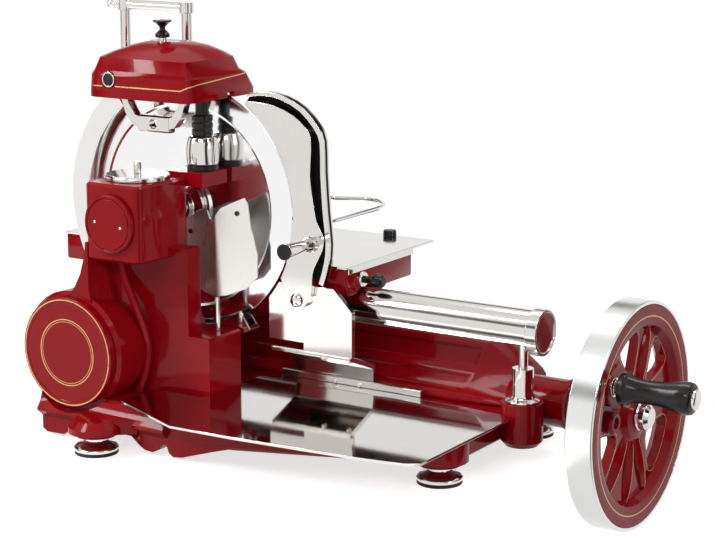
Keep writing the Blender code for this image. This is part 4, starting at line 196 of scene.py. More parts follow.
def grey_bands(tree, way, shares):
    """Greys across the studio, as (place, grey) pairs from one end of a direction to the other."""
    bands = node(tree, "ValToRGB", {0: ranged(tree, way, -1.0, 1.0)})
    while len(bands.color_ramp.elements) < len(shares):
        bands.color_ramp.elements.new(0.5)
    for element, (place, grey) in zip(bands.color_ramp.elements, shares):
        element.position = place
        element.color = (grey, grey, grey, 1)
    return bands.outputs[0]


counter_look = bpy.data.materials.new("counter_white")
counter_look.use_nodes = True
tree = counter_look.node_tree
tree.nodes.clear()
place = object_place(tree)
tone = ranged(tree, noise(tree, place, 3.0, 3.0), 0.3, 0.7, 0.97, 1.0)
matt = node(tree, "BsdfDiffuse", {"Color": scaled(tree, counter_white, tone)})
# The camera sees the counter brighten towards its right edge, so that no line shows beside the wheel.
across = node(tree, "SeparateXYZ", {0: place}).outputs["X"]
fade = ranged(tree, across, edge_fade_from, edge_fade_to, 0.0, edge_fade_glow)
extra = maths(tree, "MULTIPLY", fade, camera_ray(tree))
strength = maths(tree, "MULTIPLY_ADD", seen_by_eye(tree), counter_glow, extra)
glow = node(tree, "Emission", {"Color": plain_white, "Strength": strength})
both = node(tree, "AddShader", {0: matt.outputs[0], 1: glow.outputs[0]})
node(tree, "OutputMaterial", {"Surface": both.outputs[0]})

edit = block((counter_left, counter_near, -counter_thickness), (counter_right, counter_far, 0))
object_from("counter", edit, counter_look, counter_round, smooth=False)

world = bpy.data.worlds.new("studio")
bpy.context.scene.world = world
world.use_nodes = True
tree = world.node_tree
tree.nodes.clear()
ways = node(tree, "SeparateXYZ", {0: node(tree, "TexCoord").outputs["Generated"]})
# Polished tops mirror a dark band near the ceiling.
ceiling = grey_bands(tree, ways.outputs["Z"], [
    (0.0, 0.9), (0.40, 1.0), (0.68, 1.0), (0.71, 0.22), (0.77, 0.12), (0.80, 0.85), (0.90, 1.0), (1.0, 0.8)])
# Two black screens stand left and right of the studio. They draw the dark edges on chrome.
screens = grey_bands(tree, ways.outputs["X"], [
    (0.0, 1.0), (0.02, 0.9), (0.035, 0.08), (0.07, 0.08), (0.09, 1.0),
    (0.87, 1.0), (0.90, 0.05), (0.955, 0.05), (0.975, 0.9), (1.0, 1.0)])
room = node(tree, "Mix", {0: 1.0, 6: ceiling, 7: screens}, data_type="RGBA", blend_type="MULTIPLY")
power = ranged(tree, seen_by_eye(tree), 0.0, 1.0, studio_for_light, studio_for_eye)
backdrop = blended(tree, camera_ray(tree), room.outputs[2], plain_white)
sky = node(tree, "Background", {"Color": backdrop, "Strength": power})
node(tree, "OutputWorld", {"Surface": sky.outputs[0]})

lamps = {
    "key": ((-1.3, -1.3, 1.5), (0.35, 1.5), 34.0),
    "front": ((0.7, -2.3, 1.7), (1.4, 0.3), 18.0),
    "right": ((2.0, -0.2, 1.1), (0.3, 1.3), 12.0),
    "top": ((0.0, 0.7, 1.9), (1.5, 0.5), 12.0),
}
for name, (place, (width, length), watts) in lamps.items():
    lamp_data = bpy.data.lights.new("lamp_" + name, "AREA")
    lamp_data.shape = "RECTANGLE"
    lamp_data.size = width
    lamp_data.size_y = length
    lamp_data.energy = watts
    lamp = bpy.data.objects.new("lamp_" + name, lamp_data)
    lamp.location = place
    lamp.rotation_euler = (Vector(place) - lamp_aim).to_track_quat("Z", "Y").to_euler()
    bpy.context.scene.collection.objects.link(lamp)
bpy.context.scene.view_settings.view_transform = "Standard"


# Levelling feet.
# Each is a turned steel cup with a bright chrome finish on a threaded stem, screwed up into the base.
# A black rubber pad under the cup keeps it from sliding and from marking the counter.
chrome_tint = (0.74, 0.71, 0.68, 1)
pad_black = (0.012, 0.012, 0.012, 1)
dust_brown = (0.05, 0.045, 0.04, 1)
dull_gloss = 0.28
pad_thickness = 0.0035
pad_edge = 0.0004
cup_edge = 0.0008
cup_chamfer = 0.0012
cup_shares = ((1.0, 0.34), (0.86, 0.50), (0.60, 0.58), (0.47, 0.70), (0.47, 1.0), (0.0, 1.0))
foot_steps = 64
seam_gap = 1e-5
line_height = 0.0004
pit_height = 0.0003
shader_inputs = {"Colour": "Base Color", "Roughness": "Roughness", "Metallic": "Metallic", "Normal": "Normal"}


def shade_group(name, inputs, outputs):
    """A new shader group, with the sockets of what it is given and the node of its result."""
    group = bpy.data.node_groups.new(name, "ShaderNodeTree")
    for label, kind, start in inputs:
        socket = group.interface.new_socket(label, in_out="INPUT", socket_type="NodeSocket" + kind)
        socket.default_value = start
    for label, kind in outputs:
        group.interface.new_socket(label, in_out="OUTPUT", socket_type="NodeSocket" + kind)
    return group, group.nodes.new("NodeGroupInput").outputs, group.nodes.new("NodeGroupOutput")


def vector_maths(tree, operation, *values):
    """The result is a number for a length, a distance or a dot product, and else a vector."""
    made = node(tree, "VectorMath", dict(enumerate(values)), operation=operation)
    return made.outputs["Value" if operation in ("LENGTH", "DISTANCE", "DOT_PRODUCT") else "Vector"]


def bumped(tree, height, strength, distance, under=None):
    inputs = {"Strength": strength, "Distance": distance, "Height": height}
    if under:
        inputs["Normal"] = under
    return node(tree, "Bump", inputs).outputs[0]


def new_look(name, plain):
    """A material and its shader tree. Plain holds the values that are the same all over the surface."""
    look = bpy.data.materials.new(name)
    look.use_nodes = True
    fed(look.node_tree, look.node_tree.nodes["Principled BSDF"], plain)
    return look, look.node_tree


def finished(tree, group, inputs):
    """Uses a shader group with the given values, and feeds the shader with all that it puts out."""
    made = node(tree, "Group", inputs, node_tree=group)
    for output in made.outputs:
        tree.links.new(output, tree.nodes["Principled BSDF"].inputs[shader_inputs[output.name]])
    return made


# Fine lines left by a polishing wheel, with soft smudges over them.
polish_group, given, result = shade_group("polishing_lines", [
    ("Lines", "Vector", (0, 0, 0)), ("Tint", "Color", chrome_tint), ("Gloss Floor", "Float", 0.05),
    ("Marks", "Float", 0.08), ("Depth", "Float", 0.03),
], [("Colour", "Color"), ("Roughness", "Float"), ("Normal", "Vector")])
lines = noise(polish_group, given["Lines"], 1.0, 5.0, 0.7)
smudge = noise(polish_group, object_place(polish_group), 22.0, 3.0)
line_part = maths(polish_group, "MULTIPLY", lines, 0.6)
wear = maths(polish_group, "MULTIPLY_ADD", ranged(polish_group, smudge, 0.45, 0.75), 0.4, line_part)
darker = ranged(polish_group, wear, 0.0, 1.0, 1.0, 0.93)
fed(polish_group, result, {
    "Colour": scaled(polish_group, given["Tint"], darker),
    "Roughness": maths(polish_group, "MULTIPLY_ADD", wear, given["Marks"], given["Gloss Floor"]),
    "Normal": bumped(polish_group, lines, given["Depth"], line_height)})


def straight_lines(*stretch):
    """Polishing lines along an axis, from noise that is squeezed least along the lines."""
    return lambda tree: node(tree, "Mapping", {"Vector": object_place(tree), "Scale": stretch}).outputs[0]


def round_lines(centre, flat, across=900.0, around=15.0):
    """Polishing lines that run round an axis, for lathe and buffing marks. Flat is 0 along the axis."""
    def lines(tree):
        away = vector_maths(tree, "SUBTRACT", object_place(tree), centre)
        level = vector_maths(tree, "MULTIPLY", away, flat)
        rings = maths(tree, "MULTIPLY", vector_maths(tree, "LENGTH", level), across)
        ways = node(tree, "SeparateXYZ", {0: scaled(tree, level, around)}).outputs
        side = maths(tree, "ADD", ways[0], ways[1])
        return node(tree, "CombineXYZ", {0: rings, 1: side, 2: ways[2]}).outputs[0]
    return lines


def bright_metal(name, lines, tint=chrome_tint, floor=0.045, marks=0.09, depth=0.02):
    """A polished metal. Floor is its roughness between the marks, and depth that of its polishing lines."""
    look, tree = new_look(name, {"Metallic": 1.0})
    finished(tree, polish_group, {
        "Lines": lines(tree), "Tint": tint, "Gloss Floor": floor, "Marks": marks, "Depth": depth})
    return look


# Dull pieces: a moulded, turned or sintered surface with a haze and fine pits.
bloom_group, given, result = shade_group("black_bloom", [
    ("Tint", "Color", pad_black), ("Bloom", "Color", dust_brown), ("Gloss Floor", "Float", 0.2),
    ("Depth", "Float", 0.08), ("Grain", "Float", 700.0),
], [("Colour", "Color"), ("Roughness", "Float"), ("Normal", "Vector")])
place = object_place(bloom_group)
haze = ranged(bloom_group, noise(bloom_group, place, 40.0, 4.0), 0.4, 0.8, 0.0, 0.5)
pits = noise(bloom_group, place, given["Grain"], 2.0)
fed(bloom_group, result, {
    "Colour": blended(bloom_group, haze, given["Tint"], given["Bloom"]),
    "Roughness": maths(bloom_group, "MULTIPLY_ADD", haze, 0.3, given["Gloss Floor"]),
    "Normal": bumped(bloom_group, pits, given["Depth"], pit_height)})


def dull_finish(name, tint, floor, depth, grain, bloom=dust_brown):
    """A dull surface. Grain is how fine its pits are, and bloom the colour of the haze on it."""
    look, tree = new_look(name, {"Specular IOR Level": dull_gloss})
    finished(tree, bloom_group, {
        "Tint": tint, "Bloom": bloom, "Gloss Floor": floor, "Depth": depth, "Grain": grain})
    return look


turns = {
    "X": Matrix.Rotation(math.pi / 2, 3, "Y"),
    "Y": Matrix.Rotation(-math.pi / 2, 3, "X"),
    "Z": Matrix.Identity(3),
}


def spun(profile, axis, centre, steps):
    """Spins (radius, place along the axis) points once round an axis through the centre."""
    edit = bmesh.new()
    turn = turns[axis]
    centre = Vector(centre)
    row = [edit.verts.new(turn @ Vector((radius, 0, along)) + centre) for radius, along in profile]
    edges = [edit.edges.new(pair) for pair in zip(row, row[1:])]
    bmesh.ops.spin(edit, geom=row + edges, cent=centre, axis=turn @ Vector((0, 0, 1)), dvec=(0, 0, 0),
                   angle=math.tau, steps=steps, use_merge=True, use_duplicate=False)
    bmesh.ops.remove_doubles(edit, verts=edit.verts, dist=seam_gap)
    bmesh.ops.recalc_face_normals(edit, faces=edit.faces)
    return edit


def on_body(piece, body, slot, *nodes):
    """Puts a piece on its CAD body. The CAD nodes that it stands for get its material and are hidden."""
    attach(piece, body)
    for name in nodes:
        cad = frame["nodes"][name]
        cad.data.materials.clear()
        cad.data.materials.append(piece.data.materials[0])
    if nodes:
        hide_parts(*nodes)
    return piece


foot_chrome = bright_metal("foot_chrome", straight_lines(60, 60, 900))
pad_rubber = dull_finish("pad_rubber", pad_black, floor=0.55, depth=0.3, grain=900.0)
for name in ("foot_front_left", "foot_front_right", "foot_rear_left", "foot_rear_right"):
    low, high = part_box(name)
    middle = (low + high) / 2
    radius = (high.x - low.x) / 2
    rim = [(0, pad_thickness), (radius * 0.94, pad_thickness), (radius, pad_thickness + cup_chamfer)]
    sides = [(radius * across, high.z * up) for across, up in cup_shares]
    cup = spun(rim + sides, "Z", (middle.x, middle.y, 0), foot_steps)
    on_body(object_from(name + "_cup", cup, foot_chrome, cup_edge), "base", "chrome", name)
    pad = spun([
        (0, 0), (radius * 0.96, 0), (radius * 0.98, pad_thickness * 0.4), (radius * 0.95, pad_thickness),
        (0, pad_thickness),
    ], "Z", (middle.x, middle.y, 0), foot_steps)
    on_body(object_from(name + "_pad", pad, pad_rubber, pad_edge, 2), "base", "black_phenolic")


# Base casting.
# A heavy iron casting on its four lugs, with a scalloped skirt and the bearing housing of the wheel's shaft.
# It is filled, rubbed down and sprayed with several coats of deep red enamel, so its edges are soft.
enamel_red = (0.275, 0.0025, 0.0065, 1)
enamel_shade = (0.15, 0.001, 0.003, 1)
enamel_peel = 0.04
wave_height = 0.0025
dimple_height = 0.0004
enamel_gloss = {"Specular IOR Level": 0.07, "Coat Weight": 0.18, "Coat Roughness": 0.02}
gold_tint = (0.78, 0.50, 0.22, 1)
gold_roughness = 0.32
gold_metallic = 0.35
brush_edge_share = 1.4
brush_edge_depth = 0.0005
ring_depth = 0.003
casting_round = 0.0016
cast_seam_gap = 2e-5
flat_angle = math.radians(0.5)

enamel_group, given, result = shade_group("enamel_film", [
    ("Tint", "Color", enamel_red), ("Shade", "Color", enamel_shade), ("Peel", "Float", 0.05),
    ("Cast", "Float", 0.10),
], [("Colour", "Color"), ("Roughness", "Float"), ("Normal", "Vector")])
place = object_place(enamel_group)
deep = ranged(enamel_group, noise(enamel_group, place, 6.0, 4.0), 0.35, 0.8, 0.0, 0.45)
wiped = noise(enamel_group, place, 35.0, 5.0)
waves = noise(enamel_group, place, 26.0, 2.0)
cast_bump = bumped(enamel_group, waves, given["Cast"], wave_height)
dimples = noise(enamel_group, place, 340.0, 1.0)
fed(enamel_group, result, {
    "Colour": blended(enamel_group, deep, given["Tint"], given["Shade"]),
    "Roughness": ranged(enamel_group, wiped, 0.3, 0.8, 0.09, 0.24),
    "Normal": bumped(enamel_group, dimples, given["Peel"], dimple_height, cast_bump)})

# A line of gold paint laid on by hand: the mask gives its place, and the paint thins where the brush lifted.
gold_group, given, result = shade_group("gold_line", [
    ("Under", "Color", enamel_red), ("Under Roughness", "Float", 0.15), ("Mask", "Float", 0.0),
], [("Colour", "Color"), ("Roughness", "Float"), ("Metallic", "Float")])
brush = noise(gold_group, object_place(gold_group), 420.0, 3.0)
solid = maths(gold_group, "MULTIPLY", ranged(gold_group, brush, 0.2, 0.5, 0.55, 1.0), given["Mask"])
rough = node(gold_group, "Mix", {0: solid, 2: given["Under Roughness"], 3: gold_roughness}, data_type="FLOAT")
fed(gold_group, result, {
    "Colour": blended(gold_group, solid, given["Under"], gold_tint),
    "Roughness": rough.outputs[0],
    "Metallic": maths(gold_group, "MULTIPLY", solid, gold_metallic)})


def brushed(tree, off, half, lift, reach):
    """1 within half of a painted line and within reach of its face, and 0 a little past either."""
    edge = maths(tree, "MULTIPLY", half, brush_edge_share)
    near = ranged(tree, off, half, edge, 1.0, 0.0)
    past = maths(tree, "ADD", reach, brush_edge_depth)
    face = ranged(tree, vector_maths(tree, "LENGTH", lift), reach, past, 1.0, 0.0)
    return maths(tree, "MULTIPLY", near, face)


# The place of a painted ring round an axis.
ring_group, given, result = shade_group("ring_place", [
    ("Centre", "Vector", (0, 0, 0)), ("Flat", "Vector", (1, 0, 1)), ("Radius", "Float", 0.05),
    ("Half Width", "Float", 0.0005),
], [("Mask", "Float")])
away = vector_maths(ring_group, "SUBTRACT", object_place(ring_group), given["Centre"])
level = vector_maths(ring_group, "MULTIPLY", away, given["Flat"])
lift = vector_maths(ring_group, "SUBTRACT", away, level)
off = maths(ring_group, "SUBTRACT", vector_maths(ring_group, "LENGTH", level), given["Radius"])
off = maths(ring_group, "ABSOLUTE", off)
fed(ring_group, result, {"Mask": brushed(ring_group, off, given["Half Width"], lift, ring_depth)})

# The place of a straight painted stroke.
stroke_group, given, result = shade_group("stroke_place", [
    ("Start", "Vector", (0, 0, 0)), ("End", "Vector", (0, 0, 1)), ("Flat", "Vector", (1, 0, 1)),
    ("Half Width", "Float", 0.0005), ("Reach", "Float", 0.004),
], [("Mask", "Float")])
away = vector_maths(stroke_group, "SUBTRACT", object_place(stroke_group), given["Start"])
level = vector_maths(stroke_group, "MULTIPLY", away, given["Flat"])
run = vector_maths(stroke_group, "SUBTRACT", given["End"], given["Start"])
run = vector_maths(stroke_group, "MULTIPLY", run, given["Flat"])
along = vector_maths(stroke_group, "DOT_PRODUCT", level, run)
whole = vector_maths(stroke_group, "DOT_PRODUCT", run, run)
nearest = scaled(stroke_group, run, maths(stroke_group, "DIVIDE", along, whole, clamp=True))
off = vector_maths(stroke_group, "DISTANCE", level, nearest)
lift = vector_maths(stroke_group, "SUBTRACT", away, level)
fed(stroke_group, result, {"Mask": brushed(stroke_group, off, given["Half Width"], lift, given["Reach"])})


def enamel(name, rings=(), strokes=(), cast=0.05):
    """Deep red enamel. Rings and strokes are the gold lines on it, and cast is how wavy the casting is."""
    look, tree = new_look(name, enamel_gloss)
    film = finished(tree, enamel_group, {
        "Tint": enamel_red, "Shade": enamel_shade, "Peel": enamel_peel, "Cast": cast})
    lines = []
    for centre, flat, radius, half in rings:
        lines.append(node(tree, "Group", node_tree=ring_group, inputs={
            "Centre": centre, "Flat": flat, "Radius": radius, "Half Width": half}))
    for first, last, flat, half, reach in strokes:
        lines.append(node(tree, "Group", node_tree=stroke_group, inputs={
            "Start": first, "End": last, "Flat": flat, "Half Width": half, "Reach": reach}))
    masks = [line.outputs[0] for line in lines]
    while len(masks) > 1:
        masks.insert(0, maths(tree, "MAXIMUM", masks.pop(), masks.pop()))
    if masks:
        finished(tree, gold_group, {
            "Under": film.outputs["Colour"], "Under Roughness": film.outputs["Roughness"], "Mask": masks[0]})
    return look


def cast_copy(name):
    """The CAD node's shape as one joined surface, without its flat triangles' seams."""
    edit = bmesh.new()
    edit.from_mesh(frame["nodes"][name].data)
    bmesh.ops.remove_doubles(edit, verts=edit.verts, dist=cast_seam_gap)
    bmesh.ops.dissolve_limit(edit, angle_limit=flat_angle, verts=edit.verts, edges=edit.edges, delimit=set())
    bmesh.ops.recalc_face_normals(edit, faces=edit.faces)
    return edit


def dressed(name, body, slot, look, round_width=casting_round, segments=3):
    """A CAD node's shape with its edges rounded, in the node's place."""
    piece = object_from(name + "_finished", cast_copy(name), look, round_width, segments)
    return on_body(piece, body, slot, name)


base_enamel = enamel("base_enamel", cast=0.12)
dressed("base_casting", "base", "red_enamel", base_enamel)


# Drive cover.
# The low iron cover over the wheel's drive, cast in one piece with faceted ends and sunken panels in front,
# and enamelled with the base. A steel track is let into its top for the carriage's rear rollers.
panel_facing = -0.35
panel_least_area = 0.003
panel_border = 0.011
panel_slope = 0.003
panel_sink = 0.0022
heavy_round = 0.0022
track_edge = 0.0006
track_tint = (0.62, 0.60, 0.58, 1)
drive_enamel = enamel("drive_enamel", cast=0.12)
edit = cast_copy("drive_cover")
fronts = [face for face in edit.faces if face.normal.y < panel_facing]
fronts = [face for face in fronts if face.calc_area() > panel_least_area]
bmesh.ops.inset_individual(edit, faces=fronts, thickness=panel_border, depth=0)
bmesh.ops.inset_individual(edit, faces=fronts, thickness=panel_slope, depth=-panel_sink)
drive_panel = object_from("drive_cover_finished", edit, drive_enamel, heavy_round, 4)
on_body(drive_panel, "base", "red_enamel", "drive_cover")
track_steel = bright_metal(
    "track_steel", straight_lines(12, 900, 900), track_tint, floor=0.14, marks=0.2, depth=0.06)
dressed("rear_track", "base", "polished_steel", track_steel, track_edge)


# Column.
# The upright casting that holds the blade's shaft: a square head on a scooped waist, and a flared side over
# the round gear case. It is enamelled with the base.
column_enamel = enamel("column_enamel", cast=0.10)
dressed("column", "base", "red_enamel", column_enamel, heavy_round)


# Gear case cover.
# A turned and enamelled disc over the gears, held by the thread of its rim. Gold lines are painted round it:
# one beside the rim and a thin pair inside.
low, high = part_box("gear_case_cover")
case_centre = Vector(((low.x + high.x) / 2, 0, (low.z + high.z) / 2))
case_radius = (high.x - low.x) / 2
case_chamfer = 0.0012
case_sink = 0.0006
case_edge = 0.0005
# Each gold line's share of the cover's radius, and half its width.
case_lines = ((0.955, 0.00055), (0.60, 0.00045), (0.56, 0.00025))
case_enamel = enamel("gear_cover_enamel", rings=[
    ((case_centre.x, low.y, case_centre.z), (1, 0, 1), case_radius * share, half)
    for share, half in case_lines
], cast=0.03)
cover = spun([
    (0, high.y), (case_radius, high.y), (case_radius, low.y + case_chamfer),
    (case_radius - case_chamfer, low.y), (case_radius * 0.90, low.y), (case_radius * 0.89, low.y + case_sink),
    (0, low.y + case_sink),
], "Y", case_centre, steps=128)
cover_disc = object_from("gear_cover_disc", cover, case_enamel, case_edge)
on_body(cover_disc, "base", "red_enamel", "gear_case_cover")


# Blade shaft cap.
# A smaller enamelled disc over the end of the blade's shaft, with a turned groove near its rim,
# screwed to the column's head.
low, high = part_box("blade_shaft_cap")
cap_centre = Vector(((low.x + high.x) / 2, 0, (low.z + high.z) / 2))
cap_radius = (high.x - low.x) / 2
cap_chamfer = 0.0014
cap_edge = 0.0004
cap_screw_places = ((-0.1747, 0.2651), (-0.2119, 0.2693))
cap_screw_radius = 0.0018
cap_screw_height = 0.0008
screw_edge = 0.0002
cap_enamel = enamel("cap_enamel", cast=0.03)
cap = spun([
    (0, high.y), (cap_radius, high.y), (cap_radius, low.y + cap_chamfer), (cap_radius - cap_chamfer, low.y),
    (cap_radius * 0.90, low.y), (cap_radius * 0.87, low.y + cap_chamfer), (cap_radius * 0.84, low.y),
    (cap_radius * 0.55, low.y), (0, low.y),
], "Y", cap_centre, steps=96)
cap_disc = object_from("shaft_cap_disc", cap, cap_enamel, cap_edge)
on_body(cap_disc, "base", "red_enamel", "blade_shaft_cap")
screw_steel = bright_metal("screw_steel", straight_lines(700, 700, 700), floor=0.12, marks=0.2, depth=0.1)
for k, (x, z) in enumerate(cap_screw_places):
    head = spun([
        (0, 0), (cap_screw_radius, 0), (cap_screw_radius, -cap_screw_height * 0.55),
        (cap_screw_radius * 0.8, -cap_screw_height * 0.95), (0, -cap_screw_height),
    ], "Y", (x, low.y, z), steps=32)
    on_body(object_from("cap_screw_%d" % k, head, screw_steel, screw_edge, 2), "base", "chrome")


# Blade and its shaft.
# A round knife of chromed steel, ground to a bevel and buffed in rings, on a stepped chromed shaft that
# the gears turn. The shaft runs in the column's head.
low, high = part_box("blade")
blade_centre = Vector(((low.x + high.x) / 2, 0, (low.z + high.z) / 2))
blade_radius = (high.x - low.x) / 2
blade_back = high.y
blade_bevel = 0.026
edge_thickness = 0.0006
bevel_middle = 0.0036
bevel_height = 0.0055
bevel_step = 0.003
hollow_height = 0.0032
web_height = 0.006
hub_radius = 0.039
hub_face_radius = 0.036
blade_edge = 0.0004
turned_edge = 0.0006
blade_tint = (0.93, 0.93, 0.93, 1)
blade_steel = bright_metal(
    "blade_steel", round_lines(blade_centre, (1, 0, 1)), blade_tint, floor=0.07, marks=0.10, depth=0.03)
knife = spun([
    (0, blade_back), (blade_radius, blade_back), (blade_radius, blade_back - edge_thickness),
    (blade_radius - blade_bevel * 0.45, blade_back - bevel_middle),
    (blade_radius - blade_bevel, blade_back - bevel_height),
    (blade_radius - blade_bevel - bevel_step, blade_back - hollow_height),
    (hub_radius, blade_back - web_height), (hub_face_radius, low.y), (0, low.y),
], "Y", blade_centre, steps=160)
blade_disc = object_from("blade_disc", knife, blade_steel, blade_edge, 2)
on_body(blade_disc, "blade_body", "polished_steel", "blade")
shaft_chrome = bright_metal("shaft_chrome", straight_lines(900, 30, 900))
dressed("blade_shaft", "blade_body", "chrome", shaft_chrome, turned_edge)


# Guard ring.
# A channel of polished steel bent round the free side of the blade, open inwards, on a short leg on the base.
guard_tint = (0.86, 0.84, 0.82, 1)
guard_steel = bright_metal(
    "guard_steel", round_lines(blade_centre, (1, 0, 1), across=500.0), guard_tint,
    floor=0.06, marks=0.10, depth=0.03)
dressed("blade_guard_ring", "base", "chrome", guard_steel, turned_edge)


# Slice deflector.
# Two leaves of polished sheet in front of the blade, hung on a short rod. They lead the slice to the tray.
# Two small dark studs stand on its front.
leaf_tint = (0.80, 0.78, 0.74, 1)
sheet_edge = 0.0004
stud_tint = (0.020, 0.017, 0.015, 1)
stud_sink = 0.0004
leaf_stud_size = (0.0030, 0.0020)
leaf_stud_places = ((-0.1695, -0.030, 0.242), (-0.0999, -0.030, 0.270))


def stud(name, node_name, near, radius, height, look, slot):
    """A small round head, square to the nearest surface of a CAD node, and on that node's body."""
    cad = frame["nodes"][node_name]
    faces = BVHTree.FromPolygons([v.co for v in cad.data.vertices], [f.vertices for f in cad.data.polygons])
    place, face, _, _ = faces.find_nearest(Vector(near))
    edit = spun([
        (0, -stud_sink), (radius, -stud_sink), (radius, height * 0.6), (radius * 0.8, height * 0.95),
        (0, height),
    ], "Z", (0, 0, 0), steps=32)
    edit.transform(Matrix.Translation(place) @ face.to_track_quat("Z", "Y").to_matrix().to_4x4())
    return on_body(object_from(name, edit, look, radius * 0.08, 2), cad["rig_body"], slot)


leaf_steel = bright_metal(
    "leaf_steel", straight_lines(700, 700, 25), leaf_tint, floor=0.24, marks=0.14, depth=0.04)
dressed("slice_deflector", "base", "polished_steel", leaf_steel, sheet_edge, 2)
dressed("deflector_rod", "base", "chrome", shaft_chrome, sheet_edge)
stud_dark = dull_finish("stud_dark", stud_tint, floor=0.25, depth=0.05, grain=600.0)
for k, near in enumerate(leaf_stud_places):
    stud("leaf_stud_%d" % k, "slice_deflector", near, *leaf_stud_size, stud_dark, "black_phenolic")


# Carriage tube.
# A thick chromed tube, open below, that carries the whole carriage. It has a cap and a post at its right end,
# and an enamelled support at its left.
support_edge = 0.001
tube_chrome = bright_metal("tube_chrome", straight_lines(14, 700, 700), floor=0.05, marks=0.10, depth=0.03)
dressed("guide_tube", "base", "chrome", tube_chrome, sheet_edge, 2)
for name in ("tube_end_cap", "tube_post"):
    dressed(name, "base", "chrome", shaft_chrome, turned_edge)
dressed("tube_left_support", "base", "red_enamel", base_enamel, support_edge)


# Tray and rail.
# The receiving tray is a polished stainless sheet in front of the base, closed behind by a flat chromed rail
# with two screws in it.
tray_tint = (0.66, 0.64, 0.62, 1)
plate_edge = 0.0005
rail_screw_size = (0.0030, 0.0016)
rail_screws_across = (-0.013, 0.022)
rail_screws_ahead = 0.01
tray_steel = bright_metal(
    "tray_steel", straight_lines(10, 500, 500), tray_tint, floor=0.035, marks=0.06, depth=0.015)
dressed("tray", "base", "polished_steel", tray_steel, plate_edge, 2)
rail_steel = bright_metal("rail_steel", straight_lines(12, 800, 800), floor=0.07, marks=0.12, depth=0.03)
dressed("rear_rail", "base", "chrome", rail_steel, plate_edge, 2)
low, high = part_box("rear_rail")
for k, x in enumerate(rail_screws_across):
    near = (x, low.y - rail_screws_ahead, (low.z + high.z) / 2)
    stud("rail_screw_%d" % k, "rear_rail", near, *rail_screw_size, screw_steel, "polished_steel")


# Flywheel.
# A heavy iron wheel, enamelled red, with sculpted spokes and four windows and a bright steel band shrunk on
# its rim. Gold lines are painted round its face and its windows and along its ridges.
low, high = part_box("flywheel_band")
wheel_centre = Vector((0, (low.y + high.y) / 2, (low.z + high.z) / 2))
wheel_radius = (high.y - low.y) / 2
wheel_face = high.x
wheel_back = low.x
wheel_edge = 0.0018
shaft_edge = 0.0008
ridge_angles = (71, 7, -72, -100, -130)
ridge_from = 0.034
ridge_to = 0.099
ridge_half = 0.0005
ridge_reach = 0.014
face_line_share = 0.865
face_line_half = 0.0006
# Each window's first and last angle, and its outline as shares of its reach and of its half angle.
window_spans = ((84, 118), (27, 58), (-60, -13), (-177, -141))
window_shares = (
    (0.49, 0.0), (0.52, 0.42), (0.66, 0.72), (0.82, 0.92), (0.93, 0.88), (0.985, 0.62), (1.0, 0.0))
window_reach = 0.098
window_line_reach = 0.0985
window_line_gap = 0.0028
window_line_half = 0.0005
window_line_depth = 0.0109
film_thickness = 0.00012
band_tint = (0.80, 0.80, 0.78, 1)
band_thickness = 0.0043
band_chamfer = 0.001
band_edge = 0.0004

ridge_strokes = []
for angle in ridge_angles:
    way = Vector((0, math.cos(math.radians(angle)), math.sin(math.radians(angle))))
    from_hub = wheel_centre + way * ridge_from
    to_rim = wheel_centre + way * ridge_to
    ridge_strokes.append((
        (wheel_face, from_hub.y, from_hub.z), (wheel_face, to_rim.y, to_rim.z), (0, 1, 1),
        ridge_half, ridge_reach))
wheel_enamel = enamel("wheel_enamel", rings=[
    ((wheel_face, wheel_centre.y, wheel_centre.z), (0, 1, 1), wheel_radius * face_line_share, face_line_half),
], strokes=ridge_strokes, cast=0.06)
dressed("flywheel_web", "flywheel", "red_enamel", wheel_enamel, wheel_edge)

gold_paint, tree = new_look("gold_paint", {})
finished(tree, gold_group, {"Under": enamel_red, "Under Roughness": 0.2, "Mask": 1.0})


def smooth_loop(points):
    """A closed cubic curve through the points, with four points to each stretch."""
    loop = []
    for k, point in enumerate(points):
        before, after, later = points[k - 1], points[(k + 1) % len(points)], points[(k + 2) % len(points)]
        for t in (0, 0.25, 0.5, 0.75):
            loop.append(0.5 * (
                2 * point + (after - before) * t + (2 * before - 5 * point + 4 * after - later) * t * t
                + (3 * point - before - 3 * after + later) * t * t * t))
    return loop


def window_line(name, outline):
    """A closed gold line on the wheel's web, as a thin film. The outline is measured from the axis."""
    edit = bmesh.new()
    loops = [[], []]
    for k, point in enumerate(outline):
        run = (outline[(k + 1) % len(outline)] - outline[k - 1]).normalized()
        side = Vector((run.y, -run.x))
        for loop, shift in zip(loops, (-window_line_half, window_line_half)):
            spot = point + side * shift
            loop.append(edit.verts.new((
                wheel_face - window_line_depth, wheel_centre.y + spot.x, wheel_centre.z + spot.y)))
    edges = [edit.edges.new((loop[k - 1], loop[k])) for loop in loops for k in range(len(loop))]
    bmesh.ops.bridge_loops(edit, edges=edges)
    bmesh.ops.recalc_face_normals(edit, faces=edit.faces)
    bmesh.ops.solidify(edit, geom=edit.faces[:], thickness=film_thickness)
    bmesh.ops.recalc_face_normals(edit, faces=edit.faces)
    return on_body(object_from(name, edit, gold_paint, smooth=False), "flywheel", "red_enamel")


window_sides = list(window_shares) + [(share, -side) for share, side in window_shares[-2:0:-1]]
for k, (first, last) in enumerate(window_spans):
    middle, half_angle = math.radians(first + last) / 2, math.radians(last - first) / 2
    rim = []
    for share, side in window_sides:
        reach = window_reach * share
        angle = middle + side * half_angle
        rim.append(Vector((reach * math.cos(angle), reach * math.sin(angle))))
    heart = sum(rim, Vector((0, 0))) / len(rim)
    outline = smooth_loop([point + (point - heart).normalized() * window_line_gap for point in rim])
    window_line("window_line_%d" % k, [
        point if point.length < window_line_reach else point.normalized() * window_line_reach
        for point in outline])

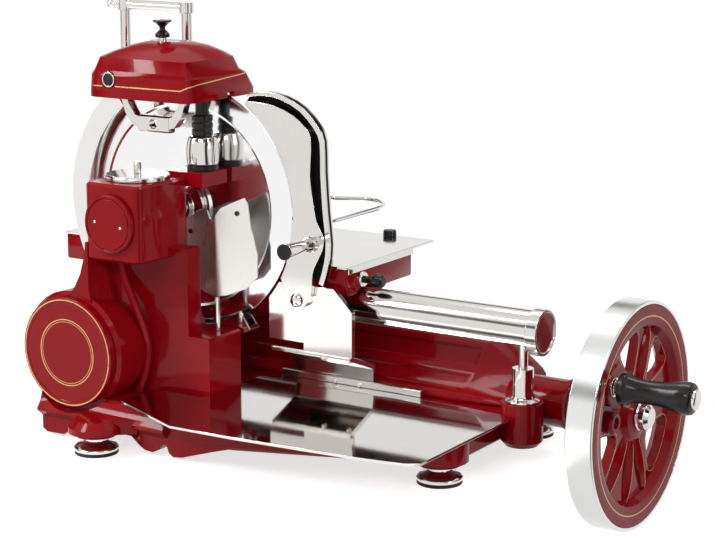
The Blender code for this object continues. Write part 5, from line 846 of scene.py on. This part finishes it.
band_steel = bright_metal(
    "band_steel", straight_lines(900, 20, 20), band_tint, floor=0.16, marks=0.14, depth=0.03)
band = spun([
    (wheel_radius - band_thickness, wheel_back), (wheel_radius - band_chamfer, wheel_back),
    (wheel_radius, wheel_back + band_chamfer), (wheel_radius, wheel_face - band_chamfer),
    (wheel_radius - band_chamfer, wheel_face), (wheel_radius - band_thickness, wheel_face),
    (wheel_radius - band_thickness, wheel_back),
], "X", wheel_centre, steps=160)
flywheel_rim = object_from("flywheel_rim", band, band_steel, band_edge, 2)
on_body(flywheel_rim, "flywheel", "chrome", "flywheel_band")
dressed("flywheel_shaft", "flywheel", "chrome", shaft_chrome, shaft_edge)
dressed("hub_nut", "flywheel", "chrome", shaft_chrome, turned_edge)


# Crank and grip.
# A chromed pin screwed into the wheel's boss, and a grip turned from black phenolic that spins on it.
grip_tint = (0.010, 0.007, 0.007, 1)
grip_bloom = (0.022, 0.017, 0.016, 1)
dressed("crank_pin", "flywheel", "chrome", shaft_chrome, plate_edge)
grip_black = dull_finish("grip_black", grip_tint, floor=0.17, depth=0.05, grain=500.0, bloom=grip_bloom)
dressed("crank_grip", "grip", "black_phenolic", grip_black, shaft_edge)


# Sharpener.
# It stands over the blade on a chromed pedestal: an enamelled cover, a forked chromed yoke below it, and two
# stones on a plunger that are pressed to the edge. The lid on the column belongs to it.
cover_round = 0.003
cover_line_half = 0.00055
# The ends of each gold line, across and up, and how far from the cover's box it may lie.
front_lines = (
    ((-0.270, 0.4155), (-0.256, 0.4155), 0.006),
    ((-0.236, 0.4160), (-0.141, 0.4165), 0.006),
    ((-0.141, 0.4165), (-0.129, 0.4220), 0.013),
)
side_line = ((-0.066, 0.4225), (0.047, 0.4285), 0.006)
fine_edge = 0.0004
neck_tint = (0.012, 0.011, 0.010, 1)
neck_bloom = (0.028, 0.025, 0.023, 1)
ring_gap = 0.0002
ring_width = 0.0018
ring_length = 0.0012
ring_edge = 0.0003
stone_tint = (0.17, 0.16, 0.15, 1)
stone_bloom = (0.32, 0.31, 0.29, 1)

low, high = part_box("sharpener_cover")
cover_strokes = [
    ((left, low.y, left_up), (right, low.y, right_up), (1, 0, 1), cover_line_half, reach)
    for (left, left_up), (right, right_up), reach in front_lines]
near, far, reach = side_line
cover_strokes.append(((high.x, *near), (high.x, *far), (0, 1, 1), cover_line_half, reach))
cover_enamel = enamel("cover_enamel", strokes=cover_strokes, cast=0.05)
dressed("sharpener_cover", "base", "red_enamel", cover_enamel, cover_round, 4)
dressed("sharpener_yoke", "base", "chrome", shaft_chrome, shaft_edge)
dressed("sharpener_pedestal", "base", "chrome", shaft_chrome, turned_edge)
neck_black = dull_finish("neck_black", neck_tint, floor=0.22, depth=0.08, grain=600.0, bloom=neck_bloom)
for name in ("pedestal_neck", "pedestal_band"):
    dressed(name, "base", "black_phenolic", neck_black, plate_edge)
dressed("column_lid", "base", "chrome", shaft_chrome, turned_edge)
dressed("lid_pin", "base", "chrome", shaft_chrome, fine_edge)
dressed("sharpener_bolt", "base", "black_phenolic", neck_black, fine_edge)
low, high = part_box("sharpener_bolt")
bolt_centre = (low + high) / 2
bolt_radius = (high.x - low.x) / 2
ring = spun([
    (bolt_radius + ring_gap, low.y + ring_length), (bolt_radius + ring_width, low.y + ring_length),
    (bolt_radius + ring_width, low.y - ring_gap), (bolt_radius + ring_gap, low.y - ring_gap),
    (bolt_radius + ring_gap, low.y + ring_length),
], "Y", (bolt_centre.x, 0, bolt_centre.z), steps=64)
on_body(object_from("bolt_ring", ring, shaft_chrome, ring_edge, 2), "base", "chrome")
dressed("plunger_knob", "plunger", "black_phenolic", grip_black, turned_edge)
dressed("plunger_stem", "plunger", "chrome", shaft_chrome, fine_edge)
stone_grey = dull_finish("stone_grey", stone_tint, floor=0.75, depth=0.6, grain=1400.0, bloom=stone_bloom)
for name in ("stone_front", "stone_rear"):
    dressed(name, "plunger", "grey_stone", stone_grey, plate_edge)


# Thickness gauge.
# A polished steel plate beside the blade with a raised rim and a second plate over it. The lever sets how far
# it stands back, which is the thickness of the slice.
gauge_finish = {"floor": 0.06, "marks": 0.10, "depth": 0.02}
# The black of the painted shadow in the gap between the rim and the plate.
channel_shadow_black = (0.006, 0.006, 0.006, 1)
# Where the painted shade begins in front and ends behind, and where it begins as shares of the blade's
# radius.
channel_front = (-0.0045, -0.0035)
channel_back = (0.0005, 0.001)
channel_shares = (1.055, 1.06)
foot_screw_size = (0.0036, 0.0022)
foot_screw_places = ((-0.001, 0.004, 0.096), (0.034, 0.004, 0.096))

gauge_steel = bright_metal("gauge_steel", straight_lines(500, 500, 18), **gauge_finish)
rim_steel = bright_metal("rim_steel", straight_lines(500, 500, 18), **gauge_finish)
# Painted shade: the channel behind the rim's front face, a little outside the blade, is coloured black as its
# shadow.
tree = rim_steel.node_tree
place = object_place(tree)
behind = node(tree, "SeparateXYZ", {0: place}).outputs["Y"]
away = vector_maths(tree, "SUBTRACT", place, blade_centre)
reach = vector_maths(tree, "LENGTH", vector_maths(tree, "MULTIPLY", away, (1, 0, 1)))
sunk = ranged(tree, behind, *channel_front)
outside = ranged(tree, reach, *[blade_radius * share for share in channel_shares])
before_back = ranged(tree, behind, *channel_back, 1.0, 0.0)
# Painted shade mask: black where the channel lies in shadow.
painted_shade = maths(tree, "MULTIPLY", maths(tree, "MULTIPLY", sunk, outside), before_back)
shader = tree.nodes["Principled BSDF"]
steel_colour = shader.inputs["Base Color"].links[0].from_socket
fed(tree, shader, {"Base Color": blended(tree, painted_shade, steel_colour, channel_shadow_black)})
dressed("gauge_rim", "gauge", "polished_steel", rim_steel, plate_edge, 2)
for name in ("gauge_plate", "gauge_bracket", "gauge_foot"):
    dressed(name, "gauge", "polished_steel", gauge_steel, plate_edge, 2)
for k, near in enumerate(foot_screw_places):
    stud("foot_screw_%d" % k, "gauge_foot", near, *foot_screw_size, screw_steel, "polished_steel")
dressed("gauge_lever", "gauge", "chrome", shaft_chrome, turned_edge)
dressed("gauge_lever_end", "gauge", "black_phenolic", grip_black, plate_edge)
dressed("gauge_bolt", "gauge", "chrome", shaft_chrome, fine_edge)


# Carriage.
# A hollow iron casting, enamelled red, that runs on the tube and on two rollers behind. The feed knob on its
# right end sets the feed of the table.
carriage_edge = 0.0012
carriage_enamel = enamel("carriage_enamel", cast=0.08)
dressed("carriage_body", "carriage", "red_enamel", carriage_enamel, carriage_edge)
for name in ("roller_left", "roller_right"):
    dressed(name, name + "_body", "polished_steel", track_steel, turned_edge)
dressed("feed_collar", "carriage", "chrome", shaft_chrome, plate_edge)
dressed("feed_knob", "feed_knob_body", "black_phenolic", grip_black, plate_edge)


# Feed table.
# A polished steel plate with a turned-down lip that slides across the carriage. Two chromed posts and a
# crossbar stand on it and guide the press.
table_tint = (0.74, 0.72, 0.69, 1)
table_steel = bright_metal(
    "table_steel", straight_lines(14, 500, 500), table_tint, floor=0.08, marks=0.12, depth=0.02)
dressed("feed_table", "table", "polished_steel", table_steel, plate_edge, 2)
post_chrome = bright_metal("post_chrome", straight_lines(700, 700, 16))
for name in ("press_post_left", "press_post_right", "press_crossbar", "press_lever"):
    dressed(name, "table", "chrome", post_chrome, plate_edge)
dressed("table_stud", "table", "black_phenolic", grip_black, plate_edge)


# Press.
# A cast block that slides down the posts with a spiked steel plate, which holds the meat, and a bent wire
# loop to lift it by.
dressed("press_block", "press", "polished_steel", table_steel, plate_edge, 2)
dressed("press_loop", "press", "chrome", post_chrome, 0.0)
